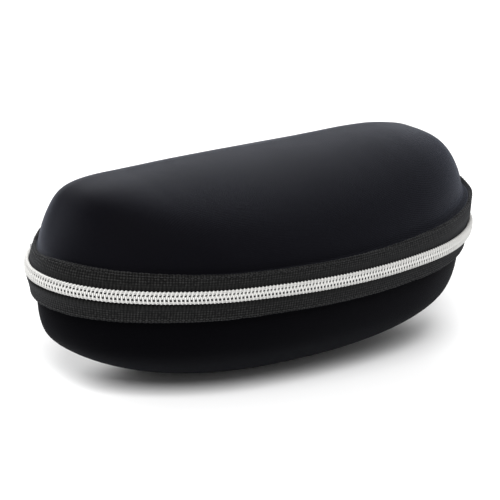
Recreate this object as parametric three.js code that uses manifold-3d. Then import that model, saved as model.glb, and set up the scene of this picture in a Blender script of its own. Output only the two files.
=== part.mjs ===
// Zip-around moulded eyeglasses case: two soft-touch clamshell halves, each a foam core
// between an outer cover and a lining, joined by a fabric hinge at the back and closed by a
// coil zipper that runs round the ends and the front.
// Millimetres, +Z up, +X along the length, -Y is the front.
// Origin: on the resting plane, under the middle of the flat bottom.
import * as THREE from 'three';
import { mergeVertices } from 'three/addons/utils/BufferGeometryUtils.js';
import Module from 'manifold-3d';

const wasm = await Module();
wasm.setup();

// ------------------------------------------------------------------ driving dimensions
const HALF_LENGTH = 82;        // half of the length, measured over the zipper chain
const FRONT_Y = -45;           // chain apex at the middle of the front
const END_R = 31.1;            // radius of the two rounded ends
const CORNER_R = 72;           // radius of the front corners
const END_TO_CORNER = -46;     // normal angle where the end arc meets the corner arc
const FRONT_ARC = 13;          // half sweep of the front arc
const POLE_Y = 5;              // the crown of the lid and the bowl stand over this line
const PARTING_Z = 35.66;       // height of the zipper's centre line
const LID_H = 29.05;           // lid crown above the parting plane
const BOWL_H = 37.66;          // depth of the untrimmed bowl below the parting plane; it is 2 mm more than
                               // the parting plane's height, and the resting plane cuts its bottom flat
const WALL_IN = -4.05;         // outer cover, set in from the chain apex
const TAPE_UP = 7.36;          // tape edge above the parting plane at the middle
const TAPE_DN = 7.54;          // tape edge below the parting plane at the middle
const TAPE_UP_2 = 2.41, TAPE_UP_1 = 1.75;   // the sewn edge rises towards the ends
const TAPE_DN_2 = 0.15, TAPE_DN_1 = -0.90;
const RIM_Z = 4.4;             // the laminated walls stop this far from the parting plane
const COVER_T = 0.6, CORE_T = 2.7, LINING_T = 0.6, GAP = 0.3;
const LID_SHAPE = { inA: 7.3, pA: 9.9, qA: 3.19, inB: 10.51, backB: 0.72, pB: 2.585, qB: 1.963, n: 3.42 };
const BOWL_SHAPE = { inA: 0.93, pA: 3.04, qA: 2.18, inB: 2.56, backB: 1, pB: 2.92, qB: 2.114, n: 2.36 };
const PLAN_N = 2.25;           // squareness of the plan at the rim
const SLIDER_AT = 46;          // parked slider, normal angle on the right end arc
const SLIDER_HALF = 8.3;       // half of the slider's length, degrees of the end arc
const CHAIN_END = 55.5;        // the coil stops here on each side, normal angle
const UPPER_END = 36.9;        // the upper coil stops short of the parked slider, so the lid can lift past it
const STOP_SWEEP = 2.6;        // length of the end stops, degrees
const TAPE_TAIL_X = 40;        // tape tails end here at the back
const HINGE_HALF = 39;         // half length of the fabric hinge
const HINGE_Z = 0.8;           // hinge flaps start this far from the parting plane
const RAD = Math.PI / 180;

// ------------------------------------------------------------------ plan curve (chain apex line)
const T1 = END_TO_CORNER * RAD, TF = (-90 + FRONT_ARC) * RAD;
const sweepX = (a, b) => Math.cos(b) - Math.cos(a);
const FRONT_R = (HALF_LENGTH - (CORNER_R * sweepX(TF, T1) + END_R * sweepX(T1, 0))) / sweepX(-Math.PI / 2, TF);
function planAt(th) {          // right half, normal angle th in radians, -90..90 degrees
  let x = 0, y = FRONT_Y;
  for (const [lo, hi, R] of [[-Math.PI / 2, TF, FRONT_R], [TF, T1, CORNER_R], [T1, Math.PI / 2, END_R]]) {
    const b = Math.min(th, hi);
    if (b <= lo) break;
    x += R * (Math.cos(b) - Math.cos(lo));
    y += R * (Math.sin(b) - Math.sin(lo));
  }
  return { x, y, nx: Math.cos(th), ny: Math.sin(th), th };
}
const BACK_Y = planAt(Math.PI / 2).y;
const STRAIGHT = planAt(Math.PI / 2).x;          // half length of the straight back
const END_C = { x: STRAIGHT, y: BACK_Y - END_R }; // centre of the right end arc
const backStation = (x) => ({ x, y: BACK_Y, nx: 0, ny: 1, th: Math.PI / 2 });
const mirror = (s) => ({ x: -s.x, y: s.y, nx: -s.nx, ny: s.ny, th: Math.PI - s.th });
const linspace = (a, b, n) => Array.from({ length: n + 1 }, (_, i) => a + (b - a) * i / n);

// stations of the right half, from the front middle to the back
const angles = [...linspace(-90, -90 + FRONT_ARC, 2), ...linspace(-90 + FRONT_ARC, END_TO_CORNER, 4).slice(1),
  ...linspace(END_TO_CORNER, 90, 14).slice(1)];
function halfStations(extraAngles = []) {
  const list = [...new Set([...angles, ...extraAngles])].sort((a, b) => a - b);
  return list.map((a) => planAt(a * RAD));
}
// closed ring for the walls: front middle -> right end -> back -> left end
const right = [...halfStations(), backStation(25)];
const CLOSED = [...right, backStation(0), ...right.slice(1).reverse().map(mirror)];
// open run for tapes: right tail -> right end -> front -> left end -> left tail
function openRun(endAngle, tailX, leftAngle = endAngle) {
  const upTo = (a) => halfStations([a]).filter((s) => s.th <= a * RAD + 1e-9);
  if (tailX !== undefined) {
    const half = [...halfStations(), backStation(tailX)];
    return [...half.slice().reverse(), ...half.slice(1).map(mirror)];
  }
  return [...upTo(endAngle).reverse(), ...upTo(leftAngle).slice(1).map(mirror)];
}
const tapeUp = (s) => { const u = s.x / HALF_LENGTH; return TAPE_UP + TAPE_UP_2 * u * u + TAPE_UP_1 * u; };
const tapeDn = (s) => { const u = s.x / HALF_LENGTH; return TAPE_DN + TAPE_DN_2 * u * u + TAPE_DN_1 * u; };
const at = (s, off, z) => [s.x + s.nx * off, s.y + s.ny * off, PARTING_Z + z];

// ------------------------------------------------------------------ moulded wall surfaces
const rSuper = (n, c, s) => Math.pow(Math.pow(Math.abs(c), n) + Math.pow(Math.abs(s), n), -1 / n);
const A0 = HALF_LENGTH + WALL_IN, BF0 = POLE_Y - FRONT_Y + WALL_IN, BB0 = BACK_Y - POLE_Y + WALL_IN;
function polar(s) {
  const x = s.x + s.nx * WALL_IN, y = s.y + s.ny * WALL_IN - POLE_Y;
  const b = y > 0 ? BB0 : BF0;
  const ph = Math.atan2(y / b, x / A0), c = Math.cos(ph), q = Math.sin(ph);
  return { c, q, k: Math.hypot(x / A0, y / b) / rSuper(PLAN_N, c, q) };
}
// point of the outer surface at fraction t from the tape edge (0) to the pole (1); t < 0 goes
// straight on towards the parting plane
function wallPoint(lid, s, t) {
  const S = lid ? LID_SHAPE : BOWL_SHAPE, { c, q, k } = polar(s);
  const tc = Math.max(0, Math.min(1, t));
  const A = (A0 - S.inA * tc) * Math.pow(1 - Math.pow(tc, S.pA), 1 / S.qA);
  const ff = Math.pow(1 - Math.pow(tc, S.pB), 1 / S.qB);
  const B = q > 0 ? (BB0 - S.inB * S.backB * tc) * ff : (BF0 - S.inB * tc) * ff;
  const r = rSuper(PLAN_N + (S.n - PLAN_N) * tc, c, q) * Math.pow(k, 1 - tc);
  const z0 = lid ? TAPE_UP : TAPE_DN, z1 = lid ? LID_H : BOWL_H;
  const z = z0 + (z1 - z0) * t;
  return [A * r * c, B * r * q + POLE_Y, PARTING_Z + (lid ? z : -z)];
}
const tAt = (lid, z) => (z - (lid ? TAPE_UP : TAPE_DN)) / ((lid ? LID_H : BOWL_H) - (lid ? TAPE_UP : TAPE_DN));
const sub = (a, b) => [a[0] - b[0], a[1] - b[1], a[2] - b[2]];
const cross = (a, b) => [a[1] * b[2] - a[2] * b[1], a[2] * b[0] - a[0] * b[2], a[0] * b[1] - a[1] * b[0]];
// one ring of the wall: depth d under the outer surface, pushed out by flare(station)
function wallRing(lid, tOf, d, flareOf, stations = CLOSED) {
  const n = stations.length, out = [];
  for (let j = 0; j < n; j++) {
    const s = stations[j], t = typeof tOf === 'function' ? tOf(s) : tOf;
    const p = wallPoint(lid, s, t);
    let q = p;
    if (d > 0) {
      const e = 0.004;
      const a = wallPoint(lid, stations[(j + 1) % n], t), b = wallPoint(lid, stations[(j + n - 1) % n], t);
      const u = wallPoint(lid, s, Math.min(t + e, 1 - 1e-4)), v = wallPoint(lid, s, t - e);
      let m = cross(sub(a, b), sub(u, v));
      if (!lid) m = m.map((w) => -w);
      const L = Math.hypot(...m);
      q = [p[0] - m[0] / L * d, p[1] - m[1] / L * d, p[2] - m[2] / L * d];
      if (t <= 0) q = [p[0] - s.nx * d, p[1] - s.ny * d, p[2]];
    }
    const f = flareOf ? flareOf(s) : 0;
    q = [q[0] + s.nx * f, q[1] + s.ny * f, q[2]];
    if (!lid) q[2] = Math.max(q[2], d);          // the flat bottom
    out.push(q);
  }
  return out;
}

function geometryFrom(pos, idx) {
  const g = new THREE.BufferGeometry();
  g.setAttribute('position', new THREE.Float32BufferAttribute(pos, 3));
  g.setIndex(idx);
  return outward(g);
}
// quads between consecutive loops of n points; wrap joins the last loop to the first
function skin(loops, wrap, turnAt = Infinity) {   // from loop turnAt on, the quads are split the other way
  const pos = [], idx = [], m = loops.length, n = loops[0].length;
  for (const r of loops) for (const p of r) pos.push(...p);
  for (let i = 0; i < (wrap ? m : m - 1); i++) for (let j = 0; j < n; j++) {
    const i2 = (i + 1) % m, k = (j + 1) % n;
    const a = i * n + j, b = i * n + k, c = i2 * n + k, d = i2 * n + j;
    if (i < turnAt) idx.push(a, b, c, a, c, d); else idx.push(a, b, d, b, c, d);
  }
  return { pos, idx, m, n };
}
// triangles of a flat section, turned the same way round as the section itself
function capTriangles(contour) {
  const pts = contour.map((p) => new THREE.Vector2(p[0], p[1]));
  const ccw = THREE.ShapeUtils.area(pts) > 0;
  return THREE.ShapeUtils.triangulateShape(pts, []).map(([a, b, c]) => {
    const area = (pts[b].x - pts[a].x) * (pts[c].y - pts[a].y) - (pts[c].x - pts[a].x) * (pts[b].y - pts[a].y);
    return (area > 0) === ccw ? [a, b, c] : [a, c, b];
  });
}
function capped(loops, first, last) {
  const { pos, idx, m, n } = skin(loops, false);
  for (const [a, b, c] of capTriangles(first)) idx.push(a, c, b);
  for (const [a, b, c] of capTriangles(last)) idx.push((m - 1) * n + a, (m - 1) * n + b, (m - 1) * n + c);
  return geometryFrom(pos, idx);
}
function outward(g) {
  const p = g.getAttribute('position'), ix = g.getIndex().array;
  let v = 0;
  const P = (i) => [p.getX(i), p.getY(i), p.getZ(i)];
  for (let i = 0; i < ix.length; i += 3) {
    const a = P(ix[i]), b = P(ix[i + 1]), c = P(ix[i + 2]), k = cross(b, c);
    v += a[0] * k[0] + a[1] * k[1] + a[2] * k[2];
  }
  if (v < 0) for (let i = 0; i < ix.length; i += 3) { const t = ix[i]; ix[i] = ix[i + 1]; ix[i + 1] = t; }
  g.computeVertexNormals();
  return g;
}

// a bowl-shaped skin between depths d0 (outside) and d1 (inside)
function cup(lid, d0, d1, flareOut, flareIn, levelsOut, levelsIn) {
  const ringAt = (lv, d, fl) => wallRing(lid, lv.t, d, fl ? lv.f : null);
  const outer = levelsOut.map((lv) => ringAt(lv, d0, flareOut));
  const inner = levelsIn.map((lv) => ringAt(lv, d1, flareIn));
  const pole = (d) => [0, POLE_Y, lid ? PARTING_Z + LID_H - d : d];
  // outer pole -> outer rings down to the rim -> inner rings up to the inner pole
  const { pos, idx, m, n } = skin([...outer.slice().reverse(), ...inner], false, outer.length);
  const top = pos.length / 3;
  pos.push(...pole(d0), ...pole(d1));
  for (let j = 0; j < n; j++) {
    const k = (j + 1) % n;
    idx.push(k, j, top, (m - 1) * n + j, (m - 1) * n + k, top + 1);
  }
  return geometryFrom(pos, idx);
}
// rim levels: the wall flares out under the zipper tape
const F_UP = 1.85;
const lidRim = [
  { t: tAt(true, RIM_Z), f: () => F_UP },
  { t: (s) => tAt(true, tapeUp(s) - 1.5), f: () => F_UP },
  { t: (s) => tAt(true, tapeUp(s) - 0.15), f: () => 0.25 },
];
const lidOut = [...lidRim, ...[0.34, 0.6, 0.8, 0.92, 0.975].map((t) => ({ t, f: () => 0 }))];
const lidIn = [{ t: tAt(true, RIM_Z), f: () => 0 }, ...[0.08, 0.34, 0.6, 0.8, 0.92, 0.975].map((t) => ({ t, f: () => 0 }))];
const lidCoverIn = [...lidRim, ...lidIn.slice(2)];
const F_DN = 1.05;
const bowlRim = [
  { t: tAt(false, RIM_Z), f: () => F_DN },
  { t: (s) => tAt(false, tapeDn(s)), f: () => 0.45 },
];
const bowlLevels = [0.12, 0.4, 0.65, 0.83, 0.935].map((t) => ({ t, f: () => 0 }));
const bowlOut = [...bowlRim, ...bowlLevels];
const bowlIn = [{ t: tAt(false, RIM_Z), f: () => 0 }, ...bowlLevels];

const D1 = COVER_T, D2 = COVER_T + GAP, D3 = D2 + CORE_T, D4 = D3 + GAP, D5 = D4 + LINING_T;
const geo = {};
geo.lid_cover = cup(true, 0, D1, true, true, lidOut, lidCoverIn);
geo.lid_core = cup(true, D2, D3, true, false, lidOut, lidIn);
geo.lid_lining = cup(true, D4, D5, false, false, lidIn, lidIn);
geo.base_cover = cup(false, 0, D1, true, true, bowlOut, bowlOut);
geo.base_core = cup(false, D2, D3, true, false, bowlOut, bowlIn);
geo.base_lining = cup(false, D4, D5, false, false, bowlIn, bowlIn);

// ------------------------------------------------------------------ rings swept round the rim
// section(station) gives a closed list of [off, z]; rings are the section's corners
function sweep(stations, section) {
  const loops = stations.map((s) => section(s).map(([off, z]) => at(s, off, z)));
  return capped(loops, section(stations[0]), section(stations[stations.length - 1]));
}

// zipper tapes
const TAPES = openRun(90, TAPE_TAIL_X);
geo.upper_zip_tape = sweep(TAPES, (s) => {
  const z = tapeUp(s);
  return [[-1.45, 0.5], [-1.45, 2.25], [-1.1, 3.6], [-0.88, z - 0.5], [-1.15, z], [-1.75, z], [-1.8, 3.6], [-2.1, 2.25], [-2.1, 0.5]];
});
geo.lower_zip_tape = sweep(TAPES, (s) => {
  const z = tapeDn(s);
  return [[-1.45, -0.5], [-1.45, -2.25], [-1.72, -3.8], [-2.35, -z + 0.4], [-2.65, -z], [-3.2, -z], [-2.5, -3.8], [-2.15, -2.25], [-2.15, -0.5]];
});
// coil halves (one row of teeth each) with the filler cord lying in the groove behind the teeth
const CHAIN = openRun(CHAIN_END), UPPER_CHAIN = openRun(UPPER_END, undefined, CHAIN_END);
const coil = (g) => [[-1.15, 0.4 * g], [-0.1, 0.4 * g], [0, 0.8 * g], [0, 1.5 * g], [-0.35, 2.05 * g], [-1.15, 2.05 * g],
  [-1.15, 1.68 * g], [-0.5, 1.68 * g], [-0.5, 0.86 * g], [-1.15, 0.86 * g]];
geo.upper_coil = sweep(UPPER_CHAIN, () => coil(1));
geo.lower_coil = sweep(CHAIN, () => coil(-1));
const cord = (g) => [[-1.1, 1.05 * g], [-0.68, 1.05 * g], [-0.68, 1.5 * g], [-1.1, 1.5 * g]];
geo.upper_coil_cord = sweep(UPPER_CHAIN, () => cord(1));
geo.lower_coil_cord = sweep(CHAIN, () => cord(-1));
// seam threads along the outer edges of the tapes
geo.lid_seam_thread = sweep(TAPES, (s) => {
  const z = tapeUp(s) - 1.6;
  return [[-0.82, z - 0.15], [-0.52, z - 0.15], [-0.52, z + 0.15], [-0.82, z + 0.15]];
});
geo.base_seam_thread = sweep(TAPES, (s) => {
  const z = -tapeDn(s) + 1.6;
  const o = -1.72 + (-2.35 + 1.72) * ((-z - 3.8) / (tapeDn(s) - 0.4 - 3.8)) + 0.1;
  return [[o, z - 0.15], [o + 0.3, z - 0.15], [o + 0.3, z + 0.15], [o, z + 0.15]];
});
// rim bindings: a folded fabric edging over the cut edge of each laminated wall
function binding(lid) {
  const g = lid ? 1 : -1, legTop = 9.0;
  const ring = (tz, d) => wallRing(lid, tAt(lid, tz), d, null);
  const legOut = ring(legTop, D5 + GAP), legIn = ring(legTop, D5 + GAP + 0.5);
  const o = WALL_IN;
  const sec = CLOSED.map((s, j) => [
    at(s, lid ? -2.5 : -3.3, 3.6 * g), at(s, lid ? -2.5 : -3.3, 4.1 * g), at(s, o - D5 - GAP, 4.1 * g),
    legOut[j], legIn[j], at(s, o - D5 - GAP - 0.5, 3.6 * g)]);
  const { pos, idx } = skin(sec, true);
  return geometryFrom(pos, idx);
}
geo.lid_rim_binding = binding(true);
geo.base_rim_binding = binding(false);

// ------------------------------------------------------------------ fabric hinge, two flaps of one strip
function flap(g) {
  const shape = new THREE.Shape();
  const z0 = HINGE_Z, z1 = 7.2, r = 2.2, L = HINGE_HALF;
  shape.moveTo(-L, z0 * g); shape.lineTo(L, z0 * g); shape.lineTo(L, (z1 - r) * g);
  shape.quadraticCurveTo(L, z1 * g, L - r, z1 * g); shape.lineTo(-L + r, z1 * g);
  shape.quadraticCurveTo(-L, z1 * g, -L, (z1 - r) * g); shape.closePath();
  const e = new THREE.ExtrudeGeometry(shape, { depth: 0.7, bevelEnabled: false, curveSegments: 3 });
  e.rotateX(Math.PI / 2);      // shape's y becomes +Z, extrusion runs towards -Y
  e.translate(0, BACK_Y - 0.85, PARTING_Z);
  return clean(e);
}
function clean(g) {
  const c = g.clone(); c.deleteAttribute('normal'); c.deleteAttribute('uv');
  const m = mergeVertices(c, 1e-4), ix = m.getIndex().array, keep = [];
  for (let i = 0; i < ix.length; i += 3) {
    if (ix[i] !== ix[i + 1] && ix[i + 1] !== ix[i + 2] && ix[i] !== ix[i + 2]) keep.push(ix[i], ix[i + 1], ix[i + 2]);
  }
  m.setIndex(keep); m.computeVertexNormals();
  return m;
}
geo.lid_hinge_flap = flap(1);
geo.base_hinge_flap = flap(-1);

// ------------------------------------------------------------------ zipper hardware on the right end arc
const arcPoint = (deg, off, z) => [END_C.x + (END_R + off) * Math.cos(deg * RAD), END_C.y + (END_R + off) * Math.sin(deg * RAD), PARTING_Z + z];
function arcBar(from, to, seg, section, mirrored = false) {   // swept along the end arc
  const loops = linspace(from, to, seg).map((deg) => section.map(([off, z]) => {
    const p = arcPoint(deg, off, z);
    return [mirrored ? -p[0] : p[0], p[1], p[2]];
  }));
  return capped(loops, section, section);
}
const toManifold = (g) => {
  const c = g.clone(); c.deleteAttribute('normal'); if (c.getAttribute('uv')) c.deleteAttribute('uv');
  const m = mergeVertices(c, 1e-4);
  return new wasm.Manifold(new wasm.Mesh({ numProp: 3, vertProperties: new Float32Array(m.getAttribute('position').array), triVerts: new Uint32Array(m.getIndex().array) }));
};
const fromManifold = (m) => {
  const mesh = m.getMesh();
  const g = new THREE.BufferGeometry(), n = mesh.numProp, k = mesh.vertProperties.length / n, pos = new Float32Array(k * 3);
  for (let i = 0; i < k; i++) for (let j = 0; j < 3; j++) pos[i * 3 + j] = mesh.vertProperties[i * n + j];
  g.setAttribute('position', new THREE.BufferAttribute(pos, 3));
  g.setIndex(Array.from(mesh.triVerts));
  g.computeVertexNormals();
  return g;
};
// local frame of the parked slider: n outward, t along the chain (towards the hinge), z up
const PHI = SLIDER_AT * RAD;
const LOCAL = new THREE.Matrix4().set(
  Math.cos(PHI), -Math.sin(PHI), 0, END_C.x + END_R * Math.cos(PHI),
  Math.sin(PHI), Math.cos(PHI), 0, END_C.y + END_R * Math.sin(PHI),
  0, 0, 1, PARTING_Z, 0, 0, 0, 1);
// a box given in the local frame as [n0,n1],[t0,t1],[z0,z1]
function localBox(n, t, z) {
  const g = new THREE.BoxGeometry(n[1] - n[0], t[1] - t[0], z[1] - z[0]);
  g.translate((n[0] + n[1]) / 2, (t[0] + t[1]) / 2, (z[0] + z[1]) / 2);
  g.applyMatrix4(LOCAL);
  return g;
}
const a0 = SLIDER_AT - SLIDER_HALF, a1 = SLIDER_AT + SLIDER_HALF;
const outerPlate = arcBar(a0, a1, 4, [[0.3, -3.2], [0.55, -3.45], [1.05, -3.45], [1.3, -3.1], [1.3, 3.1], [1.05, 3.45], [0.55, 3.45], [0.3, 3.2]]);
const innerPlate = arcBar(a0, a1, 4, [[-3.4, -2.9], [-2.6, -2.9], [-2.6, 2.9], [-3.4, 2.9]]);
const post = arcBar(SLIDER_AT + 3.5, SLIDER_AT + 7, 1, [[-2.9, -0.2], [0.8, -0.2], [0.8, 0.2], [-2.9, 0.2]]);
const BAR_N = 3.1;             // height of the puller bridge over the chain apex
const bridge = [localBox([0.9, 2.9], [-2.9, -1.9], [-0.5, 0.5]), localBox([0.9, 2.9], [1.9, 2.9], [-0.5, 0.5]), localBox([2.6, 3.6], [-2.9, 2.9], [-0.5, 0.5])];
let body = toManifold(outerPlate);
for (const g of [innerPlate, post, ...bridge]) body = body.add(toManifold(g));
geo.slider_body = fromManifold(body);
// puller link: an oval wire ring hooked over the bridge, hanging in the plane across the chain
const LINK_R = 1.1, WIRE_R = 0.45, LINK_DROP = 6.5;
{
  const path = [];
  for (const a of linspace(0, 180, 6)) path.push([BAR_N + LINK_R * Math.cos(a * RAD), LINK_R * Math.sin(a * RAD)]);
  for (const a of linspace(180, 360, 6)) path.push([BAR_N + LINK_R * Math.cos(a * RAD), -LINK_DROP + LINK_R * Math.sin(a * RAD)]);
  const k = 6, loops = [];
  for (let i = 0; i < path.length; i++) {
    const loop = [], cy = i < 7 ? 0 : -LINK_DROP;
    const dx = path[i][0] - BAR_N, dz = path[i][1] - cy, L = Math.hypot(dx, dz);
    for (let j = 0; j < k; j++) {
      const b = (j + 0.5) / k * 2 * Math.PI, r = WIRE_R * Math.cos(b), w = WIRE_R * Math.sin(b);
      const v = new THREE.Vector3(path[i][0] + dx / L * r, w, path[i][1] + dz / L * r).applyMatrix4(LOCAL);
      loop.push([v.x, v.y, v.z]);
    }
    loops.push(loop);
  }
  const { pos, idx } = skin(loops, true);
  geo.pull_link = geometryFrom(pos, idx);
}
// pull tab: a flat pressed tab with an eye, hanging on the link's lower end
const EYE_Z = -LINK_DROP - LINK_R, EYE_R = 0.8, TAB_T = 0.9, TAB_TOP = 1.7, TAB_LEN = 19;
{
  const s = new THREE.Shape(), w0 = 2.0, w1 = 3.3, b = EYE_Z - TAB_LEN;
  s.moveTo(-w0, EYE_Z); s.quadraticCurveTo(-w0, EYE_Z + TAB_TOP, 0, EYE_Z + TAB_TOP);
  s.quadraticCurveTo(w0, EYE_Z + TAB_TOP, w0, EYE_Z); s.lineTo(w1, EYE_Z - 6); s.lineTo(w1, b + 2.6);
  s.quadraticCurveTo(w1, b, 0, b); s.quadraticCurveTo(-w1, b, -w1, b + 2.6); s.lineTo(-w1, EYE_Z - 6); s.closePath();
  const hole = new THREE.Path(); for (let i = 0; i < 10; i++) hole[i ? 'lineTo' : 'moveTo'](EYE_R * Math.cos(i * 0.2 * Math.PI), EYE_Z + EYE_R * Math.sin(i * 0.2 * Math.PI)); s.holes.push(hole);
  const g = new THREE.ExtrudeGeometry(s, { depth: TAB_T, bevelEnabled: false, curveSegments: 5 });
  // shape x -> t, shape y -> z, extrusion -> n
  g.applyMatrix4(new THREE.Matrix4().set(0, 0, 1, BAR_N - TAB_T / 2, 1, 0, 0, 0, 0, 1, 0, 0, 0, 0, 0, 1));
  g.applyMatrix4(LOCAL);
  geo.pull_tab = clean(g);
}
// top stops: one folded clip on each tape edge; bottom stop: one clip across both tapes
const clip = (g) => [[-2.75, 2.2 * g], [-2.4, 2.2 * g], [-2.4, 0.28 * g], [-1.12, 0.28 * g], [-1.12, 2.2 * g], [-0.15, 2.2 * g], [0, 1.9 * g], [0, 0.06 * g], [-2.75, 0.06 * g]];
geo.upper_top_stop = arcBar(CHAIN_END + 0.5, CHAIN_END + 0.5 + STOP_SWEEP, 1, clip(1));
geo.lower_top_stop = arcBar(CHAIN_END + 0.5, CHAIN_END + 0.5 + STOP_SWEEP, 1, clip(-1));
geo.bottom_stop = arcBar(CHAIN_END + 0.5, CHAIN_END + 0.5 + STOP_SWEEP * 1.5, 1,
  [[-2.75, -2.4], [-2.45, -2.4], [-2.45, -0.2], [-1.12, -0.2], [-1.12, -2.4], [-0.15, -2.4], [0, -2.1], [0, 2.1], [-0.15, 2.4], [-1.0, 2.4], [-1.0, 0.2], [-2.55, 0.2], [-2.55, 2.4], [-2.75, 2.4]], true);

// ------------------------------------------------------------------ materials and scene graph
const FABRIC = new THREE.MeshStandardMaterial({ color: 0x16161b, roughness: 0.85, metalness: 0 });
const FOAM = new THREE.MeshStandardMaterial({ color: 0x1b1b1d, roughness: 0.95, metalness: 0 });
const LINING = new THREE.MeshStandardMaterial({ color: 0x222226, roughness: 0.95, metalness: 0 });
const TAPE = new THREE.MeshStandardMaterial({ color: 0x242426, roughness: 0.9, metalness: 0 });
const COIL = new THREE.MeshStandardMaterial({ color: 0xd9d8d4, roughness: 0.35, metalness: 0.3 });
const THREAD = new THREE.MeshStandardMaterial({ color: 0x1d1d1f, roughness: 0.8, metalness: 0 });
const METAL = new THREE.MeshStandardMaterial({ color: 0xbfc0c2, roughness: 0.25, metalness: 1 });
const look = {
  lid_cover: FABRIC, base_cover: FABRIC, lid_core: FOAM, base_core: FOAM, lid_lining: LINING, base_lining: LINING,
  upper_zip_tape: TAPE, lower_zip_tape: TAPE, upper_coil: COIL, lower_coil: COIL, upper_coil_cord: THREAD, lower_coil_cord: THREAD,
  lid_seam_thread: THREAD, base_seam_thread: THREAD, lid_rim_binding: TAPE, base_rim_binding: TAPE,
  lid_hinge_flap: FABRIC, base_hinge_flap: FABRIC, slider_body: METAL, pull_link: METAL, pull_tab: METAL,
  upper_top_stop: METAL, lower_top_stop: METAL, bottom_stop: METAL,
};
const group = new THREE.Group();
for (const [name, geometry] of Object.entries(geo)) {
  const mesh = new THREE.Mesh(geometry, look[name]);
  mesh.name = name;
  group.add(mesh);
}
export default group;
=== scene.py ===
"""Looks for the moulded zip-around eyeglasses case: smooth shells, woven zipper tapes, wound coil,
sewn threads, rim bindings, a creased hinge strip over both shells, and a plated slider with link and tab.
Lengths in the shape code are in millimetres and are turned to metres when a mesh is made."""
import math

import bmesh
import bpy
import numpy as np
from mathutils import Matrix, Vector


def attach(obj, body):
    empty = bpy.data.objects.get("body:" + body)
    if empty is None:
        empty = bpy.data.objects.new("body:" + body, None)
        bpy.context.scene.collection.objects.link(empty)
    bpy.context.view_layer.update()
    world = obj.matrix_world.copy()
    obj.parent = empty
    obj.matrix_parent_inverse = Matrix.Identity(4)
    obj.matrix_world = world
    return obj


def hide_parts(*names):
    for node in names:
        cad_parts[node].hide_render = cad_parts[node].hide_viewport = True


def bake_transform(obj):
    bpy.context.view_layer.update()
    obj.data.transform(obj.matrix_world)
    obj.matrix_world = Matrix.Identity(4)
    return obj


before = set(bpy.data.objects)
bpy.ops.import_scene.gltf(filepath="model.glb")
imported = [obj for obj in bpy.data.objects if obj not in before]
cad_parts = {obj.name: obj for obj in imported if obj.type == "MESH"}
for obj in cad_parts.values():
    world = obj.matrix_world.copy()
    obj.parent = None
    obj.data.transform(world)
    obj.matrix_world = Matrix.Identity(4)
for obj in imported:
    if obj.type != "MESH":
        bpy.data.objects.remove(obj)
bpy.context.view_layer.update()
RAD = math.pi / 180

# ------------------------------------------------------------------ camera (first: nothing else depends on it)
AZ, EL, ROLL, DIST, LENS = -41.881 * RAD, 17.680 * RAD, 3.573 * RAD, 1.16779, 269.81
TARGET = Vector((0.002646, 0.005, 0.030112))
back = Vector((math.sin(AZ) * math.cos(EL), -math.cos(AZ) * math.cos(EL), math.sin(EL)))
right = (-back).cross(Vector((0, 0, 1))).normalized()
up = right.cross(-back)
r2 = right * math.cos(ROLL) + up * math.sin(ROLL)
u2 = -right * math.sin(ROLL) + up * math.cos(ROLL)
cam_data = bpy.data.cameras.new("camera")
cam_data.lens, cam_data.sensor_width = LENS, 36.0
cam_data.clip_start, cam_data.clip_end = 0.05, 60.0
cam = bpy.data.objects.new("camera", cam_data)
pos = TARGET + back * DIST
cam.matrix_world = Matrix((
    (r2.x, u2.x, back.x, pos.x), (r2.y, u2.y, back.y, pos.y), (r2.z, u2.z, back.z, pos.z), (0, 0, 0, 1)))
bpy.context.scene.collection.objects.link(cam)
bpy.context.scene.camera = cam

# ------------------------------------------------------------------ dimensions, as in the CAD part
HALF_LENGTH, FRONT_Y, END_R, CORNER_R = 82.0, -45.0, 31.1, 72.0
T1, TF = -46 * RAD, -77 * RAD
POLE_Y, PARTING_Z, LID_H, BOWL_H, WALL_IN = 5.0, 35.66, 29.05, 37.66, -4.05
TAPE_UP, TAPE_DN = 7.36, 7.54
RIM_Z = 4.4
COVER_T, CORE_T, LINING_T, GAP = 0.6, 2.7, 0.6, 0.3
LID_SHAPE = dict(inA=7.3, pA=9.9, qA=3.19, inB=10.51, backB=0.72, pB=2.585, qB=1.963, n=3.42)
BOWL_SHAPE = dict(inA=0.93, pA=3.04, qA=2.18, inB=2.56, backB=1.0, pB=2.92, qB=2.114, n=2.36)
PLAN_N = 2.25
SLIDER_AT, SLIDER_HALF, CHAIN_END = 46.0, 8.3, 55.5
PITCH = 1.26
P2 = math.pi / 2


def sweep_x(a, b):
    return math.cos(b) - math.cos(a)


FRONT_R = (HALF_LENGTH - (CORNER_R * sweep_x(TF, T1) + END_R * sweep_x(T1, 0))) / sweep_x(-P2, TF)
ARCS = [(-P2, TF, FRONT_R), (TF, T1, CORNER_R), (T1, P2, END_R)]
ARC_LEN = [(hi - lo) * R for lo, hi, R in ARCS]


class Stations:
    """Points of the plan curve at arc lengths s (mm) from the middle of the front, positive to the right."""

    def __init__(self, s):
        s = np.asarray(s, float)
        self.s = s
        a = np.abs(s)
        x, y = np.zeros_like(a), np.full_like(a, FRONT_Y)
        th = np.full_like(a, -P2)
        left = a.copy()
        for (lo, hi, R), L in zip(ARCS, ARC_LEN):
            d = np.clip(left, 0, L)
            b = lo + d / R
            x += R * (np.cos(b) - math.cos(lo))
            y += R * (np.sin(b) - math.sin(lo))
            th = np.where(left > 0, b, th)
            left = left - L
        x -= np.maximum(left, 0)
        g = np.where(s < 0, -1.0, 1.0)
        self.x, self.y, self.nx, self.ny, self.th = x * g, y, np.cos(th) * g, np.sin(th), th
        self.n = len(s)

    def at(self, off, z):
        """Points at that offset outward and height over the parting plane; off and z may be arrays over the stations."""
        off, z = off + np.zeros(self.n), z + np.zeros(self.n)
        return np.stack([self.x + self.nx * off, self.y + self.ny * off, PARTING_Z + z], 1)


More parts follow.
